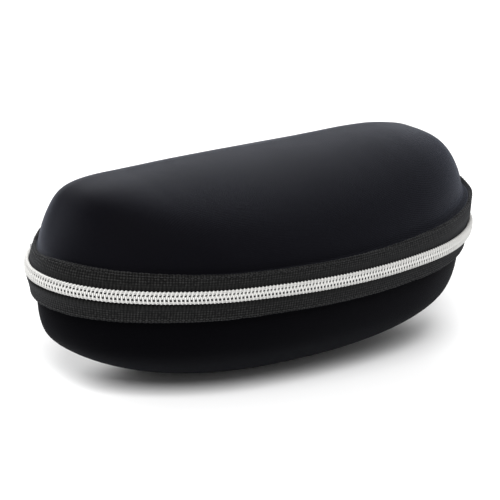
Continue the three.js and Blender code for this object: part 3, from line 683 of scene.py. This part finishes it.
def tape(name, lid):
    step = 0.21
    count = int(2 * S_TAIL / step)
    st = Stations(np.linspace(-S_TAIL, S_TAIL, count))
    g = 1.0 if lid else -1.0
    N_OUT, N_IN = 26, 8
    edge = tape_up(st) if lid else tape_dn(st)
    zs = np.array([float(np.min(edge)), float(np.max(edge))])
    profiles = []
    for e in zs:   # the section at the narrowest and at the widest place, blended in between
        if lid:
            outer = [(-1.55, 1.40), (-1.42, 1.50), (-1.45, 2.2), (-1.12, 3.5), (-0.97, 5.0), (-0.86, e - 0.55)]
            top = [(-0.86, e - 0.55), (-0.90, e - 0.2), (-1.08, e - 0.02), (-1.34, e + 0.02), (-1.6, e - 0.05), (-1.76, e - 0.25)]
            inner = [(-1.76, e - 0.25), (-1.8, 3.6), (-2.1, 2.2), (-2.1, 1.45)]
        else:
            outer = [(-1.55, 1.40), (-1.42, 1.50), (-1.45, 2.2), (-1.70, 3.7), (-2.0, 5.0), (-2.33, e - 0.35)]
            top = [(-2.33, e - 0.35), (-2.42, e - 0.12), (-2.62, e), (-2.85, e), (-3.05, e - 0.1), (-3.14, e - 0.3)]
            inner = [(-3.14, e - 0.3), (-2.5, 3.7), (-2.12, 2.2), (-2.1, 1.45)]
        profiles.append(np.concatenate([catmull(outer, N_OUT), catmull(top, 7)[1:], catmull(inner, N_IN)[1:]]))
    mixw = ((edge - zs[0]) / (zs[1] - zs[0]))[:, None, None]
    prof = profiles[0][None] * (1 - mixw) + profiles[1][None] * mixw          # stations, section, (off, z)
    off, z = prof[..., 0].copy(), prof[..., 1].copy()
    m = prof.shape[1]
    run = np.concatenate([[0], np.cumsum(np.linalg.norm(np.diff(profiles[1], axis=0), axis=1))])
    face = np.zeros(m)
    face[1:N_OUT + 3] = 1.0
    face = face[None, :]
    # past the chain's two ends, where no coil lies on it, the tape reaches further toward the parting line
    bare = np.maximum(smooth(s_of(55.5), s_of(62.0), st.s), smooth(s_of(CHAIN_END) + 1.5, s_of(CHAIN_END) + 6.0, -st.s))[:, None]
    z = z - 0.95 * bare * (1 - smooth(1.5, 3.4, z))
    share = z / edge[:, None]
    # cross rows close to the coil follow its teeth; the ground further out is a raised bird's-eye
    s = st.s[:, None]
    rows = np.cos(2 * math.pi * s / (PITCH / 2)) * (1 - smooth(0.45, 0.7, share)) * smooth(0.1, 0.25, share)
    pull = np.cos(2 * math.pi * s / PITCH) * (1 - smooth(0.25, 0.5, share))
    rnd = np.random.default_rng(7 if lid else 8)
    eye = np.sin(math.pi * (s + 1.2 * z) / 0.94) * np.sin(math.pi * (s - 1.2 * z) / 0.94)
    eye = eye * smooth(0.45, 0.62, share) * (1 - smooth(0.97, 1.0, share))
    hem = 0.05 * np.exp(-((share - 0.95) / 0.05) ** 2)
    wob = np.interp(st.s, np.linspace(st.s[0], st.s[-1], 90), rnd.normal(0, 1, 90))[:, None]
    off = off + face * (0.035 * rows + 0.03 * pull + 0.085 * eye + hem) + 0.04 * wob * smooth(0.4, 1.0, share)
    if lid:
        off = off - lean(st, share.T).T
    else:
        off = off + 0.8 * end_weight(st)[:, None] * smooth(2.0, 3.0, z) * (1 - smooth(0.35, 1.0, share))
    # the edge wanders slightly where it is sewn
    wz = np.interp(st.s, np.linspace(st.s[0], st.s[-1], 130), rnd.normal(0, 1, 130))[:, None]
    scallop = 0.07 * np.cos(2 * math.pi * s / 1.88)
    z = z + (0.05 * wz + scallop) * smooth(0.85, 1.0, share)
    # the tails tuck in under the hinge strip
    tuck = smooth(S_TAIL - 7.5, S_TAIL - 2.0, np.abs(st.s))[:, None]
    off = off - tuck * 1.0 * np.ones_like(off)
    pts = np.stack([st.x[:, None] + st.nx[:, None] * off, st.y[:, None] + st.ny[:, None] * off, PARTING_Z + g * z + dip(st)[:, None]], -1)
    fab = np.stack([np.broadcast_to(s, z.shape), z, share], -1)
    v, q, t = tube_mesh(pts)
    fab = np.concatenate([fab.reshape(-1, 3), fab[0, :1], fab[-1, :1]])
    return fix_normals(make_mesh(name, v, q, t, fab, [MAT_TAPE]))


add(tape("upper_woven_tape", True), "lid", "zip_tape", "upper_zip_tape")
add(tape("lower_woven_tape", False), "base", "zip_tape", "lower_zip_tape")


# ------------------------------------------------------------------ coil halves, filler cords and sewing thread
S0, S1 = -s_of(CHAIN_END), s_of(54.9)


def spread(s):
    """The two halves part round the slider's post at the right end."""
    return 1.1 * smooth(s_of(43.5), s_of(50.5), s)


def lay_on(points, g):
    """(s, off, z over the half's own side) -> x, y, z."""
    st = Stations(points[..., 0].ravel())
    z = points[..., 2].ravel() + spread(points[..., 0].ravel())
    # the chain is slightly rounded across: its outer edges lie further back than its middle
    off = points[..., 1].ravel() - 0.05 * np.clip(z, 0, 3) ** 2
    return st.at(off, g * z + dip(st)).reshape(points.shape)


def coil(name, lid):
    g = 1.0 if lid else -1.0
    per, ring = 20, 9
    turns = int((S1 - S0 - PITCH) / PITCH)
    k = np.arange(turns * per + 1) / per
    ph = 2 * math.pi * k
    e = 2 / 2.7
    cz, sz = np.cos(ph), np.sin(ph)
    z = 0.79 + 0.965 * np.sign(cz) * np.abs(cz) ** e
    off = -0.64 + 0.365 * np.sign(sz) * np.abs(sz) ** e
    s = S0 + 0.5 * PITCH + (0.0 if lid else PITCH / 2) + (turns - k) * PITCH
    # each loop's two legs lie over each other: the pitch is taken up at the outer bend
    s = s - 0.127 * PITCH * np.sin(ph)
    path = np.stack([s, off, z], 1)
    head = np.exp(-((z + 0.17) / 0.28) ** 2)
    rad = 0.272 + 0.03 * head
    rings = tube(path, rad, ring, up=np.array([1.0, 0.0, 0.0]))
    xyz = lay_on(rings, g)
    v, q, t = tube_mesh(xyz)
    a = np.stack([np.broadcast_to((k * 5.0)[:, None], rings.shape[:2]), np.broadcast_to(np.arange(ring)[None] / ring, rings.shape[:2]), np.zeros(rings.shape[:2])], -1).reshape(-1, 3)
    a = np.concatenate([a, a[:1], a[-1:]])
    return fix_normals(make_mesh(name, v, q, t, a, [MAT_COIL]))


def cord_and_stitches(name, lid):
    g = 1.0 if lid else -1.0
    P = Parts()
    # filler cord lying inside the loops, bulging between the legs, with the sewing thread's dimples in it
    ph0 = 0.0 if lid else PITCH / 2
    s = np.arange(S0 + 0.4, S1 - 0.4, PITCH / 12)
    ring = 18
    a = np.arange(ring) / ring * 2 * math.pi
    e = 2 / 2.6
    zz = 1.42 + 0.36 * np.sign(np.sin(a)) * np.abs(np.sin(a)) ** e
    oo = -0.55 + 0.43 * np.sign(np.cos(a)) * np.abs(np.cos(a)) ** e
    zz = np.broadcast_to(zz, (len(s), ring)).copy()
    oo = np.broadcast_to(oo, (len(s), ring)).copy()
    leg_s = (s[:, None] - (S0 + 0.5 * PITCH + ph0 - 0.377 * PITCH + 0.15 * (zz - 0.79)))     # the legs lean outward along the chain
    gap = 0.5 - 0.5 * np.cos(2 * math.pi * leg_s / PITCH)
    front = smooth(-0.1, 0.6, np.cos(a))[None, :]
    oo += front * (-0.10 + 0.10 * gap - 0.16 * gap ** 3 * np.exp(-((zz - 1.38) / 0.12) ** 2))
    oo -= 0.12 * smooth(8.0, 45.0, s)[:, None]          # pulled in deeper where the belt turns the right end
    rings = np.stack([np.broadcast_to(s[:, None], zz.shape), oo, zz], -1)
    v, q, t = tube_mesh(lay_on(rings, g))
    fa = np.stack([np.broadcast_to(s[:, None], zz.shape), np.broadcast_to(np.arange(ring)[None] / ring, zz.shape), np.zeros(zz.shape)], -1).reshape(-1, 3)
    P.add(v, q, t, 0, np.concatenate([fa, fa[:1], fa[-1:]]))
    # the dark core yarn lying flat between the two legs of every loop
    core = 12
    b = np.arange(core) / core * 2 * math.pi
    cz = np.broadcast_to(0.87 + 0.31 * np.sign(np.sin(b)) * np.abs(np.sin(b)) ** e, (len(s), core))
    co = np.broadcast_to(-0.63 + 0.10 * np.cos(b), (len(s), core))
    v, q, t = tube_mesh(lay_on(np.stack([np.broadcast_to(s[:, None], cz.shape), co, cz], -1), g))
    fa = np.stack([np.broadcast_to(s[:, None], cz.shape), np.broadcast_to(np.arange(core)[None] / core, cz.shape), np.zeros(cz.shape)], -1).reshape(-1, 3)
    P.add(v, q, t, 1, np.concatenate([fa, fa[:1], fa[-1:]]))
    # two rows of sewing thread crossing the gaps on the slant
    for row_z, lift in ((1.20, 0.05), (1.58, 0.04)):
        s = np.arange(S0 + 0.5, S1 - 0.5, PITCH / 9)
        w = 0.5 - 0.5 * np.cos(2 * math.pi * (s - (S0 + 0.5 * PITCH + ph0 - 0.377 * PITCH + 0.15 * (row_z - 0.79))) / PITCH)
        path = np.stack([s, -0.16 - 0.12 * smooth(8.0, 45.0, s) + lift * w, row_z + 0.10 * np.sin(2 * math.pi * s / PITCH)], 1)
        rings = tube(path, 0.11, 6, up=np.array([0.0, 0.0, 1.0]))
        v, q, t = tube_mesh(lay_on(rings, g))
        fa = np.stack([np.broadcast_to(s[:, None], rings.shape[:2]), np.broadcast_to(np.arange(6)[None] / 6, rings.shape[:2]), np.zeros(rings.shape[:2])], -1).reshape(-1, 3)
        P.add(v, q, t, 0, np.concatenate([fa, fa[:1], fa[-1:]]))
    return fix_normals(P.make(name, [MAT_COIL_THREAD, MAT_THREAD]))


add(coil("upper_wound_coil", True), "lid", "zip_coil", "upper_coil")
add(coil("lower_wound_coil", False), "base", "zip_coil", "lower_coil")
add(cord_and_stitches("upper_cord_and_stitches", True), "lid", "zip_coil", "upper_coil_cord")
add(cord_and_stitches("lower_cord_and_stitches", False), "base", "zip_coil", "lower_coil_cord")


# ------------------------------------------------------------------ seam threads: a row of lock stitches in each tape's outer edge
def seam(name, lid):
    g = 1.0 if lid else -1.0
    P = Parts()
    length, gapn, ring = 1.05, 0.83, 6
    s = -S_TAIL + 9
    while s < S_TAIL - 9:
        ss = np.linspace(s, s + length, 8)
        st = Stations(ss)
        u = np.linspace(-1, 1, 8)
        arch = np.sqrt(np.clip(1 - u ** 4, 0, 1))
        if lid:
            z = tape_up(st) - 0.75
            off = -0.90 + 0.11 * arch - lean(st, z / tape_up(st))
        else:
            z = tape_dn(st) - 0.85
            off = -1.70 - 0.63 * (z - 3.8) / (tape_dn(st) - 0.4 - 3.8) + 0.11 * arch - 0.02
        c = st.at(off, g * z + dip(st))
        upv = np.array([0.0, 0.0, 1.0])
        rings = tube(c, 0.13 * (0.45 + 0.55 * arch), ring, up=upv)
        v, q, t = tube_mesh(rings)
        a = np.stack([np.broadcast_to(ss[:, None], rings.shape[:2]), np.broadcast_to(np.arange(ring)[None] / ring, rings.shape[:2]), np.zeros(rings.shape[:2])], -1).reshape(-1, 3)
        P.add(v, q, t, 0, np.concatenate([a, a[:1], a[-1:]]))
        s += length + gapn
    return fix_normals(P.make(name, [MAT_THREAD]))


add(seam("lid_lock_stitches", True), "lid", "thread", "lid_seam_thread")
add(seam("base_lock_stitches", False), "base", "thread", "base_seam_thread")


# ------------------------------------------------------------------ hinge strip: one folded-edge strip over both shells, creased over the gap between them
def hinge_strip():
    L, H, r, T = 39.0, 7.2, 2.4, 0.7
    y_out, y_in = BACK_Y - 0.85, BACK_Y - 0.85 - T
    zs = np.unique(np.round(np.concatenate([np.linspace(-H, -3, 14), np.linspace(-3, 3, 41), np.linspace(3, H, 14)]), 4))
    nx = 170
    P = Parts()
    rows_o, rows_i, fo, fi = [], [], [], []
    for z in zs:
        cut = 0.0
        d = abs(z) - (H - r)
        if d > 0:
            cut = r - math.sqrt(max(r * r - d * d, 0))
        half = L - cut
        x = np.linspace(-half, half, nx)
        e = np.minimum(half - np.abs(x), H - abs(z))            # distance from the strip's edge
        roll = np.clip(1 - e / 0.55, 0, 1)
        sew = np.exp(-((e - 1.5) / 0.38) ** 2)
        pucker = 0.05 * np.sin(2 * math.pi * x / 2.3) * np.exp(-((e - 0.9) / 0.8) ** 2)
        # creases where the strip folds over the gap between the shells
        crease = 0.16 * math.exp(-(z / 0.9) ** 2) - 0.05 * math.exp(-((abs(z) - 2.4) / 0.8) ** 2)
        yo = y_out - 0.30 * (1 - np.sqrt(np.clip(1 - roll ** 2, 0, 1))) - 0.16 * sew + pucker - crease
        yi = np.full(nx, y_in) + 0.22 * roll ** 2
        rows_o.append(np.stack([x, yo, np.full(nx, PARTING_Z + z)], 1))
        rows_i.append(np.stack([x, yi, np.full(nx, PARTING_Z + z)], 1))
        fo.append(np.stack([x, np.full(nx, z), np.zeros(nx)], 1))
        fi.append(np.stack([x, np.full(nx, z), np.zeros(nx)], 1))
    o, i = np.stack(rows_o), np.stack(rows_i)
    m = len(zs)
    vo, qo = grid(o, close=False)
    vi, qi = grid(i, close=False)
    nv = len(vo)
    idx = np.arange(m * nx).reshape(m, nx)
    ring = np.concatenate([idx[0], idx[1:, -1], idx[-1, ::-1][1:], idx[1:-1, 0][::-1]])
    k = np.roll(ring, -1)
    side = np.stack([ring, k, k + nv, ring + nv], 1)
    P.add(np.concatenate([vo, vi]), np.concatenate([qo, qi[:, ::-1] + nv, side]), (), 0, np.concatenate([np.concatenate(fo), np.concatenate(fi)]))
    # top stitching all round, 1.5 mm from the edge
    def stitch(x0, z0, x1, z1):
        c = np.linspace(0, 1, 7)
        u = np.linspace(-1, 1, 7)
        arch = np.sqrt(np.clip(1 - u ** 4, 0, 1))
        path = np.stack([x0 + (x1 - x0) * c, y_out - 0.20 + 0.12 * arch, PARTING_Z + z0 + (z1 - z0) * c], 1)
        rings = tube(path, 0.13 * (0.45 + 0.55 * arch), 6, up=np.array([0.0, 1.0, 0.0]))
        v, q, t = tube_mesh(rings)
        a = np.stack([np.broadcast_to((c * 2)[:, None], rings.shape[:2]), np.broadcast_to(np.arange(6)[None] / 6, rings.shape[:2]), np.zeros(rings.shape[:2])], -1).reshape(-1, 3)
        P.add(v, q, t, 1, np.concatenate([a, a[:1], a[-1:]]))
    inset = 1.5
    x = -L + inset + 1.2
    while x + 1.75 < L - inset - 1.0:
        for z in (-H + inset, H - inset):
            stitch(x, z, x + 1.75, z)
        x += 2.17
    z = -H + inset + 1.0
    while z + 1.5 < H - inset - 0.6:
        for x in (-L + inset, L - inset):
            stitch(x, z, x, z + 1.5)
        z += 1.95
    return fix_normals(P.make("hinge_strip", [MAT_HINGE, MAT_THREAD]))


strip = hinge_strip()
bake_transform(strip)
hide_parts("lid_hinge_flap", "base_hinge_flap")


# ------------------------------------------------------------------ slider, link, tab and stops, in the parked slider's own frame
PHI = SLIDER_AT * RAD
LOCAL = np.array([[math.cos(PHI), -math.sin(PHI), 0], [math.sin(PHI), math.cos(PHI), 0], [0, 0, 1]])
ORIGIN = np.array([END_C[0] + END_R * math.cos(PHI), END_C[1] + END_R * math.sin(PHI), PARTING_Z])


def local(p):
    """(outward, along the chain towards the hinge, up) -> x, y, z."""
    return np.asarray(p, float) @ LOCAL.T + ORIGIN


def arc_sweep(taus, section, centre=SLIDER_AT, mirrored=False):
    """Solid swept along the end arc; taus in mm from the centre angle, section(tau) a list of (off, z)."""
    loops = []
    for tau in taus:
        a = (centre + tau / END_R / RAD) * RAD
        loops.append([[(-1 if mirrored else 1) * (END_C[0] + (END_R + o) * math.cos(a)), END_C[1] + (END_R + o) * math.sin(a), PARTING_Z + z] for o, z in section(tau)])
    loops = np.array(loops, float)
    m, n = loops.shape[:2]
    v, q = grid(loops)
    me = bpy.data.meshes.new("sweep")
    faces = [list(map(int, f)) for f in q] + [list(range(n))[::-1], [(m - 1) * n + i for i in range(n)]]
    me.from_pydata([tuple(p / 1000) for p in v], [], faces)
    me.update()
    return me


def solid_from(mesh, name, mats):
    mesh.name = name
    for m in mats:
        mesh.materials.append(m)
    ob = bpy.data.objects.new(name, mesh)
    bpy.context.scene.collection.objects.link(ob)
    return ob


def join(name, obs):
    """Joins small solids that are one casting into one object."""
    bm = bmesh.new()
    mats = []
    for o in obs:
        o.data.update()
        base_i = []
        for m in o.data.materials:
            if m not in mats:
                mats.append(m)
            base_i.append(mats.index(m))
        tmp = bmesh.new()
        tmp.from_mesh(o.data)
        for f in tmp.faces:
            f.material_index = base_i[f.material_index] if base_i else 0
        tmp_me = bpy.data.meshes.new("tmp")
        tmp.to_mesh(tmp_me)
        tmp.free()
        bm.from_mesh(tmp_me)
        bpy.data.meshes.remove(tmp_me)
        bpy.data.objects.remove(o)
    me = bpy.data.meshes.new(name)
    bm.to_mesh(me)
    bm.free()
    for m in mats:
        me.materials.append(m)
    ob = bpy.data.objects.new(name, me)
    bpy.context.scene.collection.objects.link(ob)
    me.shade_smooth()
    me.set_sharp_from_angle(angle=45 * RAD)
    return ob


HALF_MM = SLIDER_HALF * RAD * END_R


def half_height(tau):
    """The slider's outline: full at the leading end (towards the hinge), waisted and narrower at the trailing end."""
    u = (tau + HALF_MM) / (2 * HALF_MM)
    h = 2.72 + 0.75 * float(smooth(0.25, 0.8, u))
    for e in (tau + HALF_MM, HALF_MM - tau):        # rounded corners in plan
        if e < 1.0:
            h -= (1 - math.sqrt(max(0.0, 1 - (1 - e) ** 2))) * 0.8
    return h


taus = np.unique(np.concatenate([np.linspace(-HALF_MM, -HALF_MM + 1, 6), np.linspace(-HALF_MM + 1, HALF_MM - 1, 15), np.linspace(HALF_MM - 1, HALF_MM, 6)]))
outer_plate = solid_from(arc_sweep(taus, lambda u: [(-0.75, half_height(u)), (-0.75, half_height(u) - 0.26), (0.32, half_height(u) - 0.30), (0.32, -half_height(u) + 0.30),
                                                   (-0.75, -half_height(u) + 0.26), (-0.75, -half_height(u)), (0.75, -half_height(u) - 0.02),
                                                   (1.18, -half_height(u) + 0.42), (1.34, 0.0), (1.18, half_height(u) - 0.42), (0.75, half_height(u) + 0.02)]), "outer_plate", [MAT_METAL])
bevelled(outer_plate, 0.12, 3, 30)
inner_plate = solid_from(arc_sweep(taus, lambda u: [(-3.35, half_height(u) - 0.75), (-3.35, -half_height(u) + 0.75), (-2.62, -half_height(u) + 0.55), (-2.62, half_height(u) - 0.55)]), "inner_plate", [MAT_METAL])
bevelled(inner_plate, 0.14, 3, 30)
p0, p1 = 3.2 * RAD * END_R, 7.6 * RAD * END_R
post = solid_from(arc_sweep(np.linspace(p0, p1, 7), lambda u: [(-2.9, -0.06 - 0.5 * smooth(p0, p1, u)), (0.7, -0.06 - 0.5 * smooth(p0, p1, u)), (0.7, 0.06 + 0.5 * smooth(p0, p1, u)), (-2.9, 0.06 + 0.5 * smooth(p0, p1, u))]), "post", [MAT_METAL])
bevelled(post, 0.05, 2, 30)


def bridge():
    """The arched lug over the plate that carries the puller link."""
    pts = [(0.9, -2.62), (1.7, -2.6), (2.45, -2.35), (2.92, -1.75), (3.1, -0.9), (3.1, 0.0), (3.1, 0.9), (2.92, 1.75), (2.45, 2.35), (1.7, 2.6), (0.9, 2.62)]
    c = catmull(pts, 41)
    tan = np.gradient(c, axis=0)
    tan /= np.linalg.norm(tan, axis=1)[:, None]
    nor = np.stack([tan[:, 1], -tan[:, 0]], 1)
    rings = []
    a = (np.arange(20) + 0.5) / 20 * 2 * math.pi
    for i, (p, nn) in enumerate(zip(c, nor)):
        w = 1.0 + 0.55 * (1 - float(smooth(0.9, 1.9, p[0])))          # feet widen into the plate
        e = 2 / 3.2
        rx = 0.43 * np.sign(np.cos(a)) * np.abs(np.cos(a)) ** e
        rz = 0.58 * w * np.sign(np.sin(a)) * np.abs(np.sin(a)) ** e
        rings.append(local(np.stack([p[0] + nn[0] * rx, p[1] + nn[1] * rx, rz], 1)))
    v, q, t = tube_mesh(np.array(rings))
    return fix_normals(make_mesh("bridge", v, q, t, None, [MAT_METAL]))


def rib(z0):
    """Low raised rib along the outer plate."""
    return bevelled(solid_from(arc_sweep(np.linspace(-HALF_MM + 0.9, HALF_MM - 0.9, 12), lambda u: [(1.1, z0 - 0.16), (1.42, z0 - 0.1), (1.42, z0 + 0.1), (1.1, z0 + 0.16)]), "rib", [MAT_METAL]), 0.05, 2, 30)


slider = join("slider_casting", [outer_plate, inner_plate, post, bridge(), rib(1.75), rib(-1.75)])
add(slider, "slider", "zip_metal", "slider_body")

BAR_N, LINK_R, WIRE_R, LINK_DROP = 3.1, 1.1, 0.45, 6.5


def link():
    a = np.linspace(0, math.pi, 25)
    top = np.stack([BAR_N + LINK_R * np.cos(a), 0 * a, LINK_R * np.sin(a)], 1)
    z = np.linspace(0, -LINK_DROP, 11)[1:-1]
    waist = 0.12 * np.sin(math.pi * (-z / LINK_DROP))
    left = np.stack([BAR_N - LINK_R + waist, 0 * z, z], 1)
    b = np.linspace(math.pi, 2 * math.pi, 25)
    low = np.stack([BAR_N + LINK_R * np.cos(b), 0 * b, -LINK_DROP + LINK_R * np.sin(b)], 1)
    right_ = np.stack([BAR_N + LINK_R - waist[::-1], 0 * z, z[::-1]], 1)
    path = np.concatenate([top, left, low, right_])
    rings = tube(path, WIRE_R, 14, closed=True, up=np.array([0.0, 1.0, 0.0]))
    v, q, t = tube_mesh(local(rings), closed=True)
    return fix_normals(make_mesh("puller_link", v, q, t, None, [MAT_METAL]))


add(link(), "pull_link", "zip_metal", "pull_link")

EYE_Z, EYE_R, TAB_T, TAB_TOP, TAB_LEN = -LINK_DROP - LINK_R, 0.8, 0.9, 1.7, 19.0


def tab():
    """Pressed tab: eye at the top, a waist, and a long grip with a sunk panel and cross ribs on both faces."""
    def half_w(z):
        d = EYE_Z - z                              # distance down from the eye's centre
        if d < 0:
            return 2.0 * math.sqrt(max(0.0, 1 - (d / TAB_TOP) ** 2))
        if d < 6:
            return 2.0 + 1.3 * float(smooth(0, 6, d)) - 0.35 * math.sin(math.pi * d / 6) * 0.6
        e = TAB_LEN - d
        if e < 2.6:
            return 3.3 * math.sqrt(max(0.0, 1 - ((2.6 - e) / 2.6) ** 2)) ** 0.75
        return 3.3
    zs = EYE_Z + TAB_TOP - (TAB_TOP + TAB_LEN) * (0.5 - 0.5 * np.cos(np.linspace(0, math.pi, 90)))
    ow = [(half_w(z), z) for z in zs]
    outline = [(w, z) for w, z in ow] + [(-w, z) for w, z in ow[::-1][1:-1]]
    outline = np.array(outline)
    # even out the outline
    d = np.concatenate([[0], np.cumsum(np.linalg.norm(np.diff(np.concatenate([outline, outline[:1]]), axis=0), axis=1))])
    uu = np.linspace(0, d[-1], 151)[:-1]
    cl = np.concatenate([outline, outline[:1]])
    outline = np.stack([np.interp(uu, d, cl[:, 0]), np.interp(uu, d, cl[:, 1])], 1)
    bm = bmesh.new()
    T = TAB_T / 2
    def ring_verts(pts, n):
        return [bm.verts.new(tuple(local([n, p[0], p[1]]) / 1000)) for p in pts]
    def inset(pts, dist):
        tan = np.roll(pts, -1, 0) - np.roll(pts, 1, 0)
        tan /= np.linalg.norm(tan, axis=1)[:, None]
        nor = np.stack([-tan[:, 1], tan[:, 0]], 1)
        area = 0.5 * np.sum(pts[:, 0] * np.roll(pts[:, 1], -1) - np.roll(pts[:, 0], -1) * pts[:, 1])
        return pts + nor * dist * (1 if area > 0 else -1)
    eye_a = np.arange(28) / 28 * 2 * math.pi
    eye = np.stack([EYE_R * np.cos(eye_a), EYE_Z + EYE_R * np.sin(eye_a)], 1)
    # outer rim profile, rounded
    prof = [(0.0, 0.0), (0.02, 0.10), (0.07, 0.19), (0.15, 0.26), (0.26, 0.30)]
    layers = []
    for ins, up_ in prof:
        layers.append((ins, T - 0.30 + up_))
    loops = []
    for ins, n in layers:
        loops.append(ring_verts(inset(outline, ins), BAR_N + n))
    bottom = []
    for ins, n in layers:
        bottom.append(ring_verts(inset(outline, ins), BAR_N - n))
    def bridge_loops(a, b):
        k = len(a)
        for i in range(k):
            bm.faces.new((a[i], a[(i + 1) % k], b[(i + 1) % k], b[i]))
    for a, b in zip(loops[:-1], loops[1:]):
        bridge_loops(a, b)
    for a, b in zip(bottom[:-1], bottom[1:]):
        bridge_loops(b, a)
    bridge_loops(bottom[0], loops[0])
    e_prof = [(0.16, 0.0), (0.06, 0.03), (0.0, 0.12)]
    eyes_t = [ring_verts(np.stack([(EYE_R + g) * np.cos(eye_a), EYE_Z + (EYE_R + g) * np.sin(eye_a)], 1), BAR_N + T - d_) for g, d_ in e_prof]
    eyes_b = [ring_verts(np.stack([(EYE_R + g) * np.cos(eye_a), EYE_Z + (EYE_R + g) * np.sin(eye_a)], 1), BAR_N - T + d_) for g, d_ in e_prof]
    for a, b in zip(eyes_t[:-1], eyes_t[1:]):
        bridge_loops(a, b)
    for a, b in zip(eyes_b[:-1], eyes_b[1:]):
        bridge_loops(b, a)
    bridge_loops(eyes_t[-1], eyes_b[-1])
    # faces with a sunk grip panel on both sides
    pz0, pz1 = EYE_Z - 5.6, EYE_Z - TAB_LEN + 2.0
    pn = 36
    pa = np.arange(pn) / pn * 2 * math.pi
    e = 2 / 4.5
    cx, cz = 2.15, (pz0 - pz1) / 2
    panel = np.stack([cx * np.sign(np.cos(pa)) * np.abs(np.cos(pa)) ** e, (pz0 + pz1) / 2 + cz * np.sign(np.sin(pa)) * np.abs(np.sin(pa)) ** e], 1)
    for sgn, rim, eye_loop in ((1, loops[-1], eyes_t[0]), (-1, bottom[-1], eyes_b[0])):
        p_top = ring_verts(panel, BAR_N + sgn * T)
        p_low = ring_verts(inset(panel, 0.14), BAR_N + sgn * (T - 0.16))
        bridge_loops(p_top, p_low)
        bm.faces.new(p_low)
        edges = []
        for lp in (rim, eye_loop, p_top):
            for i in range(len(lp)):
                a, b = lp[i], lp[(i + 1) % len(lp)]
                ed = bm.edges.get((a, b)) or bm.edges.new((a, b))
                edges.append(ed)
        bmesh.ops.triangle_fill(bm, edges=edges, use_beauty=True, use_dissolve=False)
    bmesh.ops.recalc_face_normals(bm, faces=bm.faces)
    me = bpy.data.meshes.new("puller_tab")
    bm.to_mesh(me)
    bm.free()
    ob = solid_from(me, "puller_tab_plate", [MAT_METAL])
    ob.data.shade_smooth()
    ob.data.set_sharp_from_angle(angle=35 * RAD)
    # cross ribs of the grip
    ribs = [ob]
    for i in range(6):
        zc = pz0 - 2.1 - i * 1.55
        for sgn in (1, -1):
            a = np.linspace(-1.75, 1.75, 9)
            path = local(np.stack([np.full(9, BAR_N + sgn * (T - 0.16)), a, np.full(9, zc) + 0.25 * np.cos(a / 1.75 * P2)], 1))
            rings = tube(path, 0.19 * np.sqrt(np.clip(1.02 - (a / 1.75) ** 6, 0.05, 1)), 10, up=np.array([0.0, 0.0, 1.0]))
            v, q, t = tube_mesh(rings)
            ribs.append(fix_normals(make_mesh("r", v, q, t, None, [MAT_METAL])))
    return join("puller_tab", ribs)


add(tab(), "pull_tab", "zip_metal", "pull_tab")


def clip_section(g):
    return [(-2.72, 2.15 * g), (-2.42, 2.15 * g), (-2.42, 0.40 * g), (-1.14, 0.40 * g), (-1.14, 2.15 * g), (-0.2, 2.15 * g), (0.0, 1.8 * g), (0.0, 0.12 * g), (-0.2, 0.07 * g), (-2.72, 0.07 * g)]


stop_len = 2.6 * RAD * END_R
for nm, g, body, node in (("upper_stop_clip", 1, "lid", "upper_top_stop"), ("lower_stop_clip", -1, "base", "lower_top_stop")):
    ob = solid_from(arc_sweep(np.linspace(0, stop_len, 5), lambda u: clip_section(g), CHAIN_END + 0.5), nm, [MAT_METAL_SATIN])
    bevelled(ob, 0.1, 3, 30)
    add(ob, body, "zip_metal", node)
ob = solid_from(arc_sweep(np.linspace(0, stop_len * 1.5, 7), lambda u: [
    (-2.72, -2.35), (-2.45, -2.35), (-2.45, -0.25), (-1.14, -0.25), (-1.14, -2.35), (-0.2, -2.35), (0.0, -2.0), (0.0, 2.0), (-0.2, 2.35), (-1.0, 2.35), (-1.0, 0.25), (-2.5, 0.25), (-2.5, 2.35), (-2.72, 2.35)], CHAIN_END + 0.5, True),
    "bottom_stop_clip", [MAT_METAL_SATIN])
bevelled(ob, 0.1, 3, 30)
add(ob, "base", "zip_metal", "bottom_stop")

# ------------------------------------------------------------------ stage: plain pale floor and soft studio light
floor_me = bpy.data.meshes.new("studio_floor")
floor_me.from_pydata([(-9, -9, -0.0001), (9, -9, -0.0001), (9, 9, -0.0001), (-9, 9, -0.0001)], [], [(0, 1, 2, 3)])
floor = bpy.data.objects.new("studio_floor", floor_me)
bpy.context.scene.collection.objects.link(floor)
fm, fnt, fb = principled("studio_white", (0.92, 0.92, 0.925), 0.9, spec=0.1)
FN = Nodes(fnt)
FN.link(FN.mix_color(FN.noise(FN.obj(), 1.2, 2.0), (0.93, 0.93, 0.932), (0.95, 0.95, 0.952)), fb.inputs["Base Color"])
floor_me.materials.append(fm)

world = bpy.data.worlds.new("studio")
bpy.context.scene.world = world
world.use_nodes = True
bg = world.node_tree.nodes["Background"]
bg.inputs["Color"].default_value = (1.0, 1.0, 1.0, 1)
bg.inputs["Strength"].default_value = 0.45


def area(name, loc, target, size, power, color=(1, 1, 1), size_y=None):
    d = bpy.data.lights.new(name, "AREA")
    d.shape = "RECTANGLE"
    d.size, d.size_y, d.energy, d.color = size, size_y or size, power, color
    o = bpy.data.objects.new(name, d)
    o.location = loc
    o.rotation_euler = (Vector(target) - Vector(loc)).to_track_quat("-Z", "Y").to_euler()
    bpy.context.scene.collection.objects.link(o)
    return o


area("front_key", (-0.75, -0.75, 1.25), (0, 0, 0.03), 1.0, 30.0)
area("back_softbox", (0.4, 1.4, 0.8), (0, 0, 0.03), 2.4, 38.0, size_y=1.2)

vs = bpy.context.scene.view_settings
vs.view_transform = "Standard"
vs.look = "None"
vs.exposure = 0.0
vs.gamma = 1.0
